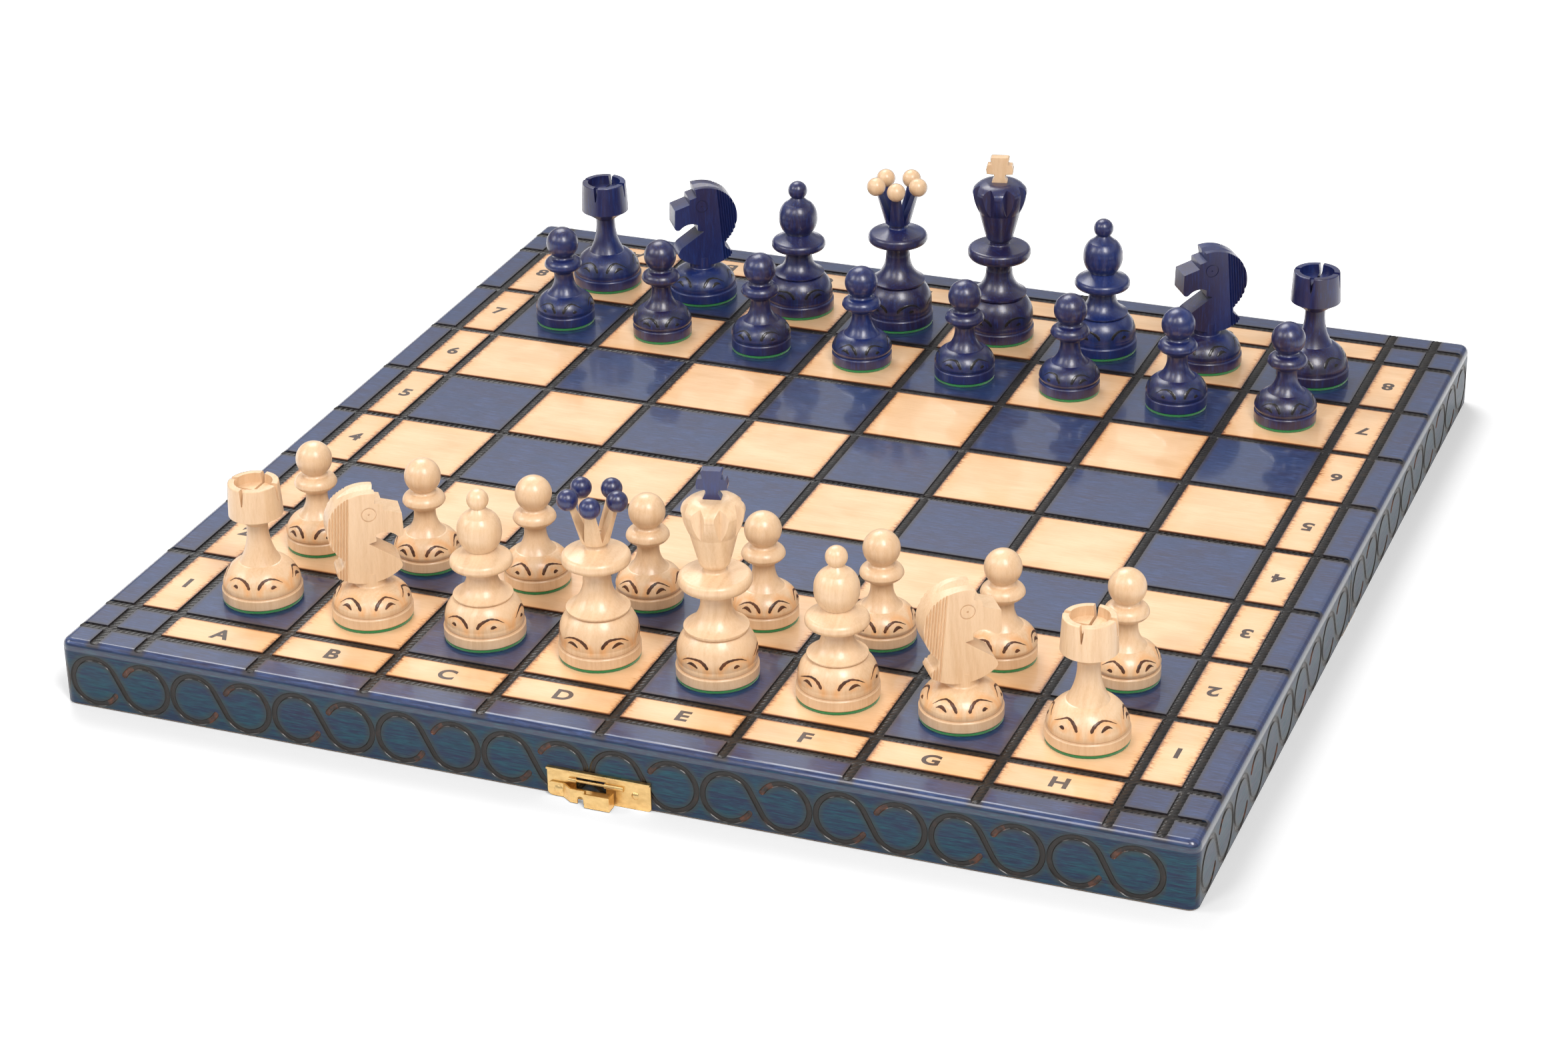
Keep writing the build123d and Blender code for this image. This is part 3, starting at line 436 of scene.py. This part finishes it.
def piece_wood(name, light):
    """Turned wood under gloss varnish, with felt below and burn halos round the foot."""
    s = Shade(name)
    x, y, z = s.place()
    up = s.sub(z, TOP)
    column = s.math("FLOOR", s.mul(x, 1 / SQUARE))
    row = s.math("FLOOR", s.mul(y, 1 / SQUARE))
    lx = s.sub(x, s.mul(s.add(column, 0.5), SQUARE))
    ly = s.sub(y, s.mul(s.add(row, 0.5), SQUARE))
    own = s.add(s.mul(column, 5.37), s.mul(row, 9.71))
    bend = s.noise(s.join(s.mul(lx, 0.05), s.mul(ly, 0.05), s.add(s.mul(up, 0.012), own)), 2.0, 0.5)
    rings = s.noise(s.join(s.add(s.mul(lx, 0.55), s.mul(bend, 6.0)), s.mul(bend, 3.0), own), 2.0, 0.5)
    fibre = s.noise(s.join(s.mul(lx, 1.5), s.mul(ly, 1.5), s.add(s.mul(up, 0.16), own)), 4.0, 0.65)
    fine = s.noise(s.join(s.mul(lx, 5.0), s.mul(ly, 5.0), s.add(s.mul(up, 0.55), own)), 2.0, 0.6)
    angle = s.math("ARCTAN2", lx, s.mul(ly, -1.0))
    by_file = s.mul(s.add(column, 4.0), SWING_PER_FILE)
    by_rank = s.mul(s.add(row, 4.0), SWING_PER_RANK)
    swing = s.math("SINE", s.add(by_file, by_rank))
    turned = s.sub(s.math("DEGREES", angle), s.add(s.mul(swing, MARK_SWING), MARK_TURN))
    fold = s.math("ABSOLUTE", s.sub(s.math("MODULO", s.add(turned, 780.0), 120.0), 60.0))
    ex = s.mul(s.sub(fold, 33.0), 1 / 24.0)
    ez = s.mul(s.sub(up, 6.3), 1 / 3.4)
    oval = s.math("SQRT", s.add(s.mul(ex, ex), s.mul(ez, ez)))
    arch = s.math("ABSOLUTE", s.sub(oval, 1.0))
    blob = s.math("SQRT", s.add(s.mul(ex, ex), s.math("POWER", s.mul(s.sub(up, 7.5), 1 / 2.4), 2.0)))
    near = s.low(arch, s.mul(blob, 0.75))
    dome = s.mul(s.span(up, 4.9, 6.0), s.span(up, 10.8, 12.2, 1.0, 0.0))
    halo = s.mul(s.span(near, 0.0, s.add(s.mul(fibre, 0.5), 0.10), 1.0, 0.0), dome)
    if light:
        wood = s.mix(s.span(rings, 0.38, 0.66), PALE, PALE_DEEP)
        wood = s.mix(s.mul(s.span(fibre, 0.35, 0.62, 1.0, 0.0), 0.45), wood, PALE_LIGHT)
        wood = s.mix(s.mul(s.span(fine, 0.55, 0.75), 0.30), wood, (0.56, 0.33, 0.17))
        wood = s.mix(s.mul(halo, 0.60), wood, (0.78, 0.36, 0.11))
        # Painted shade: the ring groove at GROOVE_Z is mixed halfway to brown, standing in for the shade
        # inside the recess.
        groove_shade = s.math("LESS_THAN", s.math("ABSOLUTE", s.sub(up, GROOVE_Z)), 0.22)
        wood = s.mix(s.mul(groove_shade, 0.5), wood, (0.40, 0.20, 0.09))
        rough = s.span(fibre, 0.3, 0.7, 0.34, 0.46)
        coat = 0.55
    else:
        wood = s.mix(s.span(bend, 0.36, 0.62), BLUE, VIOLET)
        wood = s.mix(s.mul(s.span(fibre, 0.50, 0.70), 0.50), wood, (0.008, 0.045, 0.230))
        wood = s.mix(s.mul(s.span(fine, 0.55, 0.72), 0.5), wood, (0.005, 0.004, 0.018))
        wood = s.mix(s.mul(halo, 0.30), wood, (0.014, 0.026, 0.026))
        rough = s.span(fibre, 0.3, 0.7, 0.30, 0.44)
        coat = 0.75
    height = s.add(s.mul(fibre, 0.6), s.mul(fine, 0.4))
    normal = s.bump(height, 0.05 if light else 0.07, 0.8)
    varnish = s.shader(wood, rough, normal, Coat_Weight=coat, Coat_Roughness=0.24, IOR=1.5)
    pile = s.noise(s.join(s.mul(x, 6.0), s.mul(y, 6.0), s.mul(z, 6.0)), 3.0, 0.7)
    cloth = s.mix(s.span(pile, 0.3, 0.7), FELT_GREEN, (0.020, 0.20, 0.055))
    felt = s.shader(cloth, 0.95, s.bump(pile, 0.12, 1.0), Sheen_Weight=0.4, Sheen_Roughness=0.5)
    both = s.node("ShaderNodeMixShader")
    s.feed(both.inputs[0], s.math("LESS_THAN", up, FELT - 0.02))
    s.tree.links.new(varnish.outputs[0], both.inputs[1])
    s.tree.links.new(felt.outputs[0], both.inputs[2])
    return s.finish(both)


def felt_pile():
    """The loose pile on the edge of the felt discs."""
    s = Shade("felt_pile")
    x, y, z = s.place()
    pile = s.noise(s.join(s.mul(x, 5.0), s.mul(y, 5.0), s.mul(z, 5.0)), 4.0, 0.75)
    colour = s.mix(s.span(pile, 0.32, 0.68), (0.008, 0.120, 0.026), (0.030, 0.32, 0.08))
    normal = s.bump(pile, 0.15, 1.0)
    return s.finish(s.shader(colour, 0.95, normal, Sheen_Weight=0.5, Sheen_Roughness=0.5))


def burned(name, warm, patchy=(0.45, 0.75), coat=0.75, char=CHAR):
    """Charred wood under varnish: nearly black, with reddish brown patches."""
    s = Shade(name)
    x, y, z = s.place()
    patch = s.noise(s.join(s.mul(x, 0.35), s.mul(y, 0.35), s.mul(z, 0.35)), 3.0, 0.6)
    grit = s.noise(s.join(s.mul(x, 3.0), s.mul(y, 3.0), s.mul(z, 3.0)), 4.0, 0.65)
    colour = s.mix(s.span(patch, *patchy), char, warm)
    colour = s.mix(s.mul(s.span(grit, 0.5, 0.75), 0.4), colour, (0.030, 0.018, 0.012))
    rough = s.span(grit, 0.3, 0.7, 0.30, 0.55)
    normal = s.bump(grit, 0.07, 0.8)
    shader = s.shader(colour, rough, normal, Coat_Weight=coat, Coat_Roughness=0.09, IOR=1.36)
    return s.finish(shader)


def ink():
    """Burned letters and figures."""
    s = Shade("burned_lettering")
    x, y, _ = s.place()
    grit = s.noise(s.join(s.mul(x, 2.5), s.mul(y, 6.0), 0.0), 4.0, 0.7)
    colour = s.mix(s.span(grit, 0.35, 0.75), (0.030, 0.017, 0.013), (0.085, 0.048, 0.034))
    normal = s.bump(grit, 0.05, 0.6)
    return s.finish(s.shader(colour, 0.42, normal, Coat_Weight=0.6, Coat_Roughness=0.18))


def brass(name, colour, deep, rough):
    """Pressed brass sheet with fine scratches and a little tarnish."""
    s = Shade(name)
    x, y, z = s.place()
    scratch = s.noise(s.join(s.mul(x, 0.5), s.mul(y, 0.5), s.mul(z, 9.0)), 4.0, 0.7)
    tarnish = s.noise(s.join(s.mul(x, 0.30), s.mul(y, 0.30), s.mul(z, 0.5)), 4.0, 0.6)
    tint = s.mix(s.span(tarnish, 0.42, 0.72), colour, deep)
    gloss = s.span(scratch, 0.3, 0.7, rough, rough + 0.16)
    normal = s.bump(s.add(scratch, s.mul(tarnish, 0.2)), 0.010, 0.5)
    return s.finish(s.shader(tint, gloss, normal, Metallic=1.0))


# ------------------------------------------------------------ mesh helpers


def grid_faces(rows, columns, start=0, closed=False):
    """Quads of a grid of points, row by row."""
    a = np.arange(rows if closed else rows - 1)
    b = np.arange(columns - 1)
    i, j = np.meshgrid(a, b, indexing="ij")
    k = (i + 1) % rows
    quads = np.stack([i * columns + j, k * columns + j, k * columns + j + 1, i * columns + j + 1], -1)
    return quads.reshape(-1, 4) + start


def add_mesh(name, points, faces, material, body):
    """A smooth mesh from points in millimetres, riding on a body."""
    mesh = bpy.data.meshes.new(name)
    mesh.from_pydata((np.asarray(points) * MM).tolist(), [], np.asarray(faces).tolist())
    mesh.shade_smooth()
    mesh.materials.append(material)
    piece = bpy.data.objects.new(name, mesh)
    bpy.context.collection.objects.link(piece)
    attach(piece, body)
    return piece


class Gather:
    """Collects grids of points into one mesh."""

    def __init__(self):
        self.points = []
        self.faces = []
        self.count = 0

    def grid(self, points, closed=False, flip=False):
        rows, columns = points.shape[:2]
        faces = grid_faces(rows, columns, self.count, closed)
        self.faces.append(faces[:, ::-1] if flip else faces)
        self.points.append(points.reshape(-1, 3))
        self.count += rows * columns

    def make(self, name, material, body, slot=None):
        return add_mesh(name, np.concatenate(self.points), np.concatenate(self.faces), material, body)


# ------------------------------------------------------------ burned lines


def rope_height(s, w, phase):
    """Height of the twisted relief that the branding wheel leaves, over a line's floor."""
    period, sway, strand = 3.8, 0.60, 0.72
    best = np.full(np.broadcast(s, w).shape, 0.0)
    for k in range(2):
        turn = 2 * math.pi * s / period + k * math.pi + phase
        off = (w - sway * np.sin(turn)) * 0.86
        bulge = np.sqrt(np.maximum(strand ** 2 - off ** 2, 0)) * 0.44
        best = np.maximum(best, bulge * (0.80 + 0.32 * np.cos(turn)))
    return best


def edge_floor(d):
    """Height of the line's floor below the board's top, d from the outer edge."""
    inset = np.clip(EDGE_ROUND - d, 0, EDGE_ROUND)
    fall = EDGE_ROUND - np.sqrt(EDGE_ROUND ** 2 - inset ** 2)
    return -np.maximum(LINE_DEPTH, fall - 0.03)


def rope_line(gather, place, low, high, across, along_x, ends, rng):
    """One burned line from low to high. Ends is 1 for a tapered low end, -1 for a high end, 2 for both."""
    steps = int((high - low) / ROPE_STEP) + 1
    s = np.linspace(low, high, steps)[:, None]
    w = np.asarray(across)[None, :]
    height = rope_height(s, w, rng.uniform(0, 6)) * (0.9 + 0.1 * np.sin(s * 0.9 + place))
    to_end = {1: s - low, -1: high - s, 2: np.minimum(s - low, high - s)}[ends]
    shrink = np.clip(to_end / ROPE_TAPER, 0, 1)
    floor = edge_floor(BOARD_HALF - np.abs(s))
    z = floor + 0.02 + height * (0.35 + 0.65 * shrink) - (0.0 if along_x else 0.03)
    z = np.broadcast_to(z, height.shape) + TOP
    narrow = 0.45 + 0.55 * np.sqrt(shrink)
    sway = 0.06 * np.sin(s * 0.35 + place)
    side = place + w * narrow + sway * (1 - np.abs(w) / LINE_HALF)
    run = np.broadcast_to(s, z.shape)
    side = np.broadcast_to(side, z.shape)
    parts = (run, side, z) if along_x else (side, run, z)
    gather.grid(np.stack(parts, -1), flip=not along_x)


def burned_lines(material):
    """The twisted burned lines of both halves."""
    full = np.linspace(-LINE_HALF, LINE_HALF, 9)
    places = [-LABEL_HALF, *[SQUARE * i for i in range(-4, 5)], LABEL_HALF]
    reach = BOARD_HALF - LINE_MARGIN + LINE_HALF - 0.15
    for side, body in ((-1, "front_half"), (1, "back_half")):
        rng = random.Random(11 + side)
        rope = Gather()
        for place in places:
            if side < 0:
                rope_line(rope, place, -reach, -SEAM_CLEAR, full, False, 1, rng)
            else:
                rope_line(rope, place, SEAM_CLEAR, reach, full, False, -1, rng)
            if place * side > 1:
                rope_line(rope, place, -reach, reach, full, True, 2, rng)
        seam = np.linspace(SEAM_CLEAR + 0.01, LINE_HALF, 6) * side
        rope_line(rope, 0.0, -reach, reach, np.sort(seam), True, 2, rng)
        rope.make(body + "_burned_lines", material, body, "burned_plywood")


# ------------------------------------------------------------ scrolls on the walls


def scroll_path(start):
    """Points along one stroke over two circles, in the wall's own plane."""
    sweep = 2 * math.pi - math.radians(SCROLL_OPEN) - SCROLL_LEAN
    first = SCROLL_LEAN + sweep - np.linspace(0, 1, 86) * sweep
    second = math.pi + SCROLL_LEAN + np.linspace(0, 1, 86) * sweep
    one = np.stack([start + SCROLL_R * np.cos(first), SCROLL_Z + SCROLL_R * np.sin(first)], 1)
    two_x = start + SCROLL_PITCH + SCROLL_R * np.cos(second)
    two = np.stack([two_x, SCROLL_Z + SCROLL_R * np.sin(second)], 1)
    middle = one[-1] + (two[0] - one[-1]) * np.linspace(0, 1, 20)[1:-1, None]
    return np.concatenate([one, middle, two])


def with_ends(path, half):
    """Adds round ends to a path: the points and the half width at each of them."""
    steps = half * np.sin(np.linspace(0, math.pi / 2, 5)[1:])
    start_way = path[0] - path[1]
    end_way = path[-1] - path[-2]
    start_way, end_way = start_way / np.linalg.norm(start_way), end_way / np.linalg.norm(end_way)
    head = path[0] + steps[::-1, None] * start_way
    tail = path[-1] + steps[:, None] * end_way
    cap = np.sqrt(np.maximum(half ** 2 - steps ** 2, 0.0004))
    width = np.concatenate([cap[::-1], np.full(len(path), half), cap])
    return np.concatenate([head, path, tail]), width


def wall_scrolls(material, tip_material):
    """The burned channels in the walls' grooves."""
    across = np.array([-1, -0.82, -0.55, -0.28, 0, 0.28, 0.55, 0.82, 1])
    depth = np.array([0.0, -0.20, -0.38, -0.34, -0.27, -0.34, -0.38, -0.20, 0.0]) + 0.015
    step = 2 * SCROLL_PITCH
    long_row = [SCROLL_FIRST + step * i for i in range(SCROLL_STROKES)]
    near = [SIDE_SCROLL_FIRST + step * i for i in range(SIDE_SCROLL_STROKES)]
    far = [-SIDE_SCROLL_FIRST - SCROLL_PITCH - step * i for i in range(SIDE_SCROLL_STROKES)]
    for side, body in ((-1, "front_half"), (1, "back_half")):
        rng = random.Random(5 + side)
        strokes, tips = Gather(), Gather()
        rows = [((0, side), long_row)]
        rows.append(((1, 0), near if side > 0 else far))
        rows.append(((-1, 0), far if side > 0 else near))
        for out, starts in rows:
            for start in starts:
                path, half = with_ends(scroll_path(start), SCROLL_HALF - 0.01)
                way = np.gradient(path, axis=0)
                way /= np.linalg.norm(way, axis=1)[:, None]
                left = np.stack([-way[:, 1], way[:, 0]], 1)
                wobble = 1 + 0.05 * np.sin(np.arange(len(path)) * 0.35 + rng.uniform(0, 6))
                breadth = (half * np.minimum(wobble, 1.0))[:, None, None]
                plan = path[:, None] + left[:, None] * breadth * across[None, :, None]
                sink = depth[None, :] * (half / half.max())[:, None]
                ripple = 0.02 * np.sin(np.arange(len(path)) * 1.1 + rng.uniform(0, 6))[:, None]
                proud = BOARD_HALF + sink + ripple * (np.abs(across) < 0.9)
                right = (-out[1], out[0])
                x = plan[..., 0] * right[0] + proud * out[0]
                y = plan[..., 0] * right[1] + proud * out[1]
                band = np.stack([x, y, plan[..., 1] + RIM], -1)
                tips.grid(band[:TIP_ROWS], flip=True)
                strokes.grid(band[TIP_ROWS - 1 : 1 - TIP_ROWS], flip=True)
                tips.grid(band[-TIP_ROWS:], flip=True)
        strokes.make(body + "_burned_scrolls", material, body, "stained_wall_wood")
        tips.make(body + "_scroll_tips", tip_material, body, "stained_wall_wood")


# ------------------------------------------------------------ coordinates


def glyph(text):
    """A flat letter or figure, centred, with its height set to 1."""
    curve = bpy.data.curves.new("glyph", "FONT")
    curve.body = text
    curve.align_x = "CENTER"
    curve.offset = 0.036
    curve.resolution_u = 6
    holder = bpy.data.objects.new("glyph", curve)
    bpy.context.collection.objects.link(holder)
    bpy.context.view_layer.update()
    shape = bpy.data.meshes.new_from_object(holder.evaluated_get(bpy.context.evaluated_depsgraph_get()))
    bpy.data.objects.remove(holder)
    points = np.array([v.co[:2] for v in shape.vertices])
    faces = [list(p.vertices) for p in shape.polygons]
    low, high = points.min(0), points.max(0)
    points = (points - (low + high) / 2) / (high[1] - low[1])
    bpy.data.meshes.remove(shape)
    return points, faces


def coordinates(material):
    """The letters and figures round the field, burned into the label bands."""
    height, stretch = 5.6, 1.06
    centre = FIELD_HALF + LABEL_BAND / 2
    for side, body in ((-1, "front_half"), (1, "back_half")):
        points, faces, count = [], [], 0
        marks = []
        for i, letter in enumerate("ABCDEFGH"):
            marks.append((letter, (i - 3.5) * SQUARE, side * centre, 1 if side < 0 else -1))
        for i in range(8):
            y = (i - 3.5) * SQUARE
            if y * side > 0:
                marks.append((str(i + 1), -centre, y, 1))
                marks.append((str(i + 1), centre, y, -1))
        for text, x, y, hand in marks:
            shape, quads = glyph(text)
            place = shape * (height * stretch * hand, height * hand) + (x, y)
            points.append(np.column_stack([place, np.full(len(place), TOP + 0.03)]))
            faces += [[k + count for k in f] for f in quads]
            count += len(place)
        mesh = bpy.data.meshes.new(body + "_coordinates")
        mesh.from_pydata((np.concatenate(points) * MM).tolist(), [], faces)
        mesh.materials.append(material)
        piece = bpy.data.objects.new(body + "_coordinates", mesh)
        bpy.context.collection.objects.link(piece)
        thick = piece.modifiers.new("thickness", "SOLIDIFY")
        thick.thickness = 0.06 * MM
        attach(piece, body)


# ------------------------------------------------------------ marks and felt of the pieces


def surface_radius(tree, centre, angle, height):
    """Distance of a turned surface from its axis, looked up from outside."""
    way = Vector((math.sin(angle), -math.cos(angle), 0))
    start = Vector((centre[0] * MM, centre[1] * MM, (TOP + height) * MM)) + way * PROBE * MM
    hit = tree.ray_cast(start, -way, PROBE * MM)
    return None if hit[0] is None else PROBE - hit[3] / MM


def stroke_on_dome(gather, profile, centre, turn, path, widths):
    """A burned stroke that follows the dome. Path points are (degrees, height)."""
    angle = np.radians(turn + path[:, 0])
    height = path[:, 1]
    radius = np.interp(height, profile[:, 0], profile[:, 1])
    slope = np.interp(height, profile[:, 0], np.gradient(profile[:, 1], profile[:, 0]))
    base = np.stack([radius * np.sin(angle), -radius * np.cos(angle), height], 1)
    out = np.stack([np.sin(angle), -np.cos(angle), -slope], 1)
    out /= np.linalg.norm(out, axis=1)[:, None]
    way = np.gradient(base, axis=0)
    way /= np.linalg.norm(way, axis=1)[:, None]
    left = np.cross(out, way)
    across = np.array([-1, -0.6, 0, 0.6, 1])
    lift = np.array([-0.06, 0.05, 0.025, 0.05, -0.06])
    grid = base[:, None] + left[:, None] * widths[:, None, None] * across[None, :, None]
    flat = np.hypot(grid[..., 0], grid[..., 1])
    want = np.interp(grid[..., 2], profile[:, 0], profile[:, 1])
    grid[..., :2] *= (want / flat)[..., None]
    grid = grid + out[:, None] * lift[None, :, None]
    grid += np.array([centre[0], centre[1], TOP])
    gather.grid(grid, flip=True)


def burn_marks(piece, kind, material, slot):
    """Three pairs of brow-shaped burns, with a short dash under each, on the foot of a piece."""
    lo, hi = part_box(piece)
    middle = [(lo.x + hi.x) / 2 / MM, (lo.y + hi.y) / 2 / MM]
    column = math.floor(middle[0] / SQUARE)
    row = math.floor(middle[1] / SQUARE)
    centre = [(column + 0.5) * SQUARE, (row + 0.5) * SQUARE]
    tree = BVHTree.FromObject(frame["nodes"][piece], bpy.context.evaluated_depsgraph_get())
    heights = np.linspace(5.0, 11.5, 27)
    found = [surface_radius(tree, centre, 0.4, h) for h in heights]
    profile = np.array([(h, r) for h, r in zip(heights, found) if r])
    turn = motif_turn(column + 4, row + 4)
    rng = random.Random(column * 31 + row * 7 + 3)
    marks = Gather()
    raise_by = {"pawn": -0.5, "knight": 0.0}.get(kind, 0.6)
    for pair in range(3):
        for hand in (-1, 1):
            t = np.linspace(0, 1, 26)
            spread = rng.uniform(2, 10)
            key_t = [0, 0.16, 0.34, 0.56, 0.78, 1]
            jitter = [rng.uniform(-0.22, 0.22) for _ in range(6)]
            degrees = spread + np.interp(t, key_t, [4, 7, 14.5, 25, 36, 46 + 6 * jitter[0]])
            key_rise = [6.95, 8.2, 9.25 + jitter[1], 9.65 + jitter[2], 9.1 + jitter[3], 7.9 + jitter[4]]
            rise = np.interp(t, key_t, key_rise)
            kernel = np.array([1, 2, 3, 2, 1]) / 9
            degrees[2:-2] = np.convolve(degrees, kernel, "valid")
            rise[2:-2] = np.convolve(rise, kernel, "valid")
            width = np.interp(t, [0, 0.04, 0.2, 0.45, 0.8, 1], [0.20, 0.58, 0.68, 0.46, 0.26, 0.08])
            width = width * (1 + 0.12 * np.sin(np.arange(26) * 1.7 + rng.uniform(0, 6)))
            path = np.stack([degrees * hand, rise + raise_by], 1)
            stroke_on_dome(marks, profile, centre, turn + 120 * pair, path, width)
            long_dash = rng.random() < 0.6
            ends = (19, 37) if long_dash else (24, 33)
            lift = 1.0 if long_dash else 0.35
            t = np.linspace(0, 1, 12)
            degrees = spread + ends[0] + (ends[1] - ends[0]) * t
            rise = 6.95 + lift * np.sin(t * math.pi * 0.85)
            width = 0.18 + 0.50 * np.sin(np.clip(t * 1.15, 0, 1) * math.pi) ** 0.7
            path = np.stack([degrees * hand, rise + raise_by], 1)
            stroke_on_dome(marks, profile, centre, turn + 120 * pair, path, width)
    marks.make(piece + "_burns", material, piece, slot)
    return centre


def felt_edge(piece, centre, radius, material):
    """The fuzzy edge of the felt disc."""
    rng = np.random.default_rng(int(abs(centre[0]) * 10 + abs(centre[1])) + 1)
    count = 144
    angle = np.linspace(0, 2 * math.pi, count, endpoint=False)[:, None]
    rise = np.array([0.0, 0.02, 0.25, 0.5, 0.72, 0.9, 0.9])[None, :]
    proud = np.array([-0.6, 0.02, 0.13, 0.15, 0.12, 0.02, -0.5])[None, :]
    fuzz = rng.uniform(-0.07, 0.11, (count, rise.size)) * (proud > 0)
    r = radius - FELT_INSET + proud + fuzz
    z = TOP + rise + rng.uniform(-0.02, 0.02, (count, rise.size)) * (proud > 0.05)
    ring = np.stack([centre[0] + r * np.sin(angle), centre[1] - r * np.cos(angle), np.maximum(z, TOP)], -1)
    gather = Gather()
    gather.grid(ring, closed=True, flip=True)
    gather.make(piece + "_felt", material, piece)


# ------------------------------------------------------------ build

materials = {
    "burned_plywood": plywood(),
    "stained_wall_wood": wall_wood(),
    "pale_wood": piece_wood("pale_turned_wood", True),
    "blue_stained_wood": piece_wood("blue_turned_wood", False),
    "brass_sheet": brass("clasp_brass", (0.80, 0.56, 0.25), (0.62, 0.40, 0.16), 0.24),
    "hinge_brass": brass("hinge_brass_satin", (0.76, 0.54, 0.25), (0.48, 0.31, 0.14), 0.30),
}
for part in frame["record"]["subparts"]:
    node = frame["nodes"][part["node"]]
    node.data.materials.clear()
    node.data.materials.append(materials[part["material_slot"]])

rope = burned("burned_line_char", (0.020, 0.013, 0.009), (0.50, 0.75), 0.22, (0.003, 0.002, 0.002))
channel = burned("burned_scroll_char", (0.030, 0.014, 0.009), (0.55, 0.80), 0.35)
tip = burned("burned_scroll_tip", (0.10, 0.032, 0.014), (0.38, 0.62), 0.35)
mark = burned("burned_mark_char", (0.12, 0.042, 0.016), (0.34, 0.62), 0.2, (0.035, 0.014, 0.008))
dark_mark = burned("burned_blue_char", (0.010, 0.008, 0.012), (0.4, 0.7), 0.5)
burned_lines(rope)
wall_scrolls(channel, tip)
coordinates(ink())

pile = felt_pile()
pieces = [b for b in frame["bodies"] if b.startswith(("white_", "blue_"))]
for piece in sorted(pieces):
    kind = piece.split("_")[1]
    wood_slot = "pale_wood" if piece.startswith("white") else "blue_stained_wood"
    centre = burn_marks(piece, kind, mark if wood_slot == "pale_wood" else dark_mark, wood_slot)
    felt_edge(piece, centre, PAWN_R if kind == "pawn" else MAJOR_R, pile)

# ------------------------------------------------------------ stage, light, camera

floor_mesh = bpy.data.meshes.new("studio_floor")
corners = [(x * FLOOR_HALF, y * FLOOR_HALF, 0) for x, y in ((-1, -1), (1, -1), (1, 1), (-1, 1))]
floor_mesh.from_pydata(corners, [], [(0, 1, 2, 3)])
floor = bpy.data.objects.new("studio_floor", floor_mesh)
floor.location.z = (RIM - 0.02) * MM
bpy.context.collection.objects.link(floor)
paper = Shade("studio_paper")
grain = paper.noise(paper.coord.outputs["Object"], 2.0, 0.5, 0.0, 3.0)
tone = paper.mix(grain, (0.90, 0.90, 0.90), (0.93, 0.93, 0.93))
floor_mesh.materials.append(paper.finish(paper.shader(tone, 0.9)))
floor.is_shadow_catcher = True

world = bpy.data.worlds.new("studio")
world.use_nodes = True
bpy.context.scene.world = world
sky = world.node_tree
sky.nodes.clear()


def sky_node(kind, **settings):
    made = sky.nodes.new(kind)
    for key, value in settings.items():
        setattr(made, key, value)
    return made


way = sky_node("ShaderNodeTexCoord")
parts = sky_node("ShaderNodeSeparateXYZ")
sky.links.new(way.outputs["Generated"], parts.inputs[0])
level = sky_node("ShaderNodeMapRange", clamp=True)
for socket, value in zip(list(level.inputs)[1:5], (-1.0, 1.0, 0.0, 1.0)):
    socket.default_value = value
sky.links.new(parts.outputs[2], level.inputs[0])
shades = sky_node("ShaderNodeValToRGB")
while len(shades.color_ramp.elements) < len(SKY_LEVELS):
    shades.color_ramp.elements.new(0.5)
for element, (height, strength) in zip(shades.color_ramp.elements, SKY_LEVELS):
    element.position = (height + 1) / 2
    element.color = (*[strength / SKY_GAIN] * 3, 1)
sky.links.new(level.outputs[0], shades.inputs[0])
backdrop = sky_node("ShaderNodeBackground")
sky.links.new(shades.outputs[0], backdrop.inputs["Color"])
backdrop.inputs["Strength"].default_value = SKY_GAIN
sky.links.new(backdrop.outputs[0], sky_node("ShaderNodeOutputWorld").inputs[0])


def direction(azimuth, elevation):
    """The way from the board to a lamp or the camera, from degrees. Azimuth 0 is in front of the board."""
    a, e = math.radians(azimuth), math.radians(elevation)
    return Vector((math.sin(a) * math.cos(e), -math.cos(a) * math.cos(e), math.sin(e)))


def softbox(name, azimuth, elevation, distance, width, height, power, colour):
    """An area light aimed at the middle of the board."""
    lamp = bpy.data.lights.new(name, "AREA")
    lamp.shape = "RECTANGLE"
    lamp.size, lamp.size_y = width, height
    lamp.energy = power
    lamp.color = colour
    holder = bpy.data.objects.new(name, lamp)
    aim = Vector((0, 0, TOP * MM))
    back = direction(azimuth, elevation)
    holder.location = aim + back * distance
    holder.rotation_mode = "QUATERNION"
    holder.rotation_quaternion = back.to_track_quat("Z", "Y")
    bpy.context.collection.objects.link(holder)


softbox("key_softbox", 40, 50, 1.5, 0.40, 0.70, 15, (1.0, 0.97, 0.95))
softbox("fill_softbox", -14, 46, 1.6, 0.30, 0.55, 4, (1.0, 0.97, 0.96))
softbox("back_softbox", -142, 54, 1.6, 0.80, 0.80, 13, (1.0, 0.99, 0.98))
softbox("left_softbox", -62, 34, 1.5, 0.5, 0.6, 5, (1.0, 0.98, 0.98))

scene = bpy.context.scene
scene.view_settings.view_transform = "Standard"
scene.view_settings.look = "None"

aim = Vector((*CAMERA_AIM, TOP * MM))
back = direction(CAMERA_AZIMUTH, CAMERA_ELEVATION)
roll = Matrix.Rotation(math.radians(CAMERA_ROLL), 4, "Z").to_quaternion()
lens = bpy.data.cameras.new("camera")
lens.lens = CAMERA_LENS
lens.sensor_width = 36
camera = bpy.data.objects.new("camera", lens)
camera.location = aim + back * CAMERA_DISTANCE
camera.rotation_mode = "QUATERNION"
camera.rotation_quaternion = (-back).to_track_quat("-Z", "Y") @ roll
bpy.context.collection.objects.link(camera)
scene.camera = camera
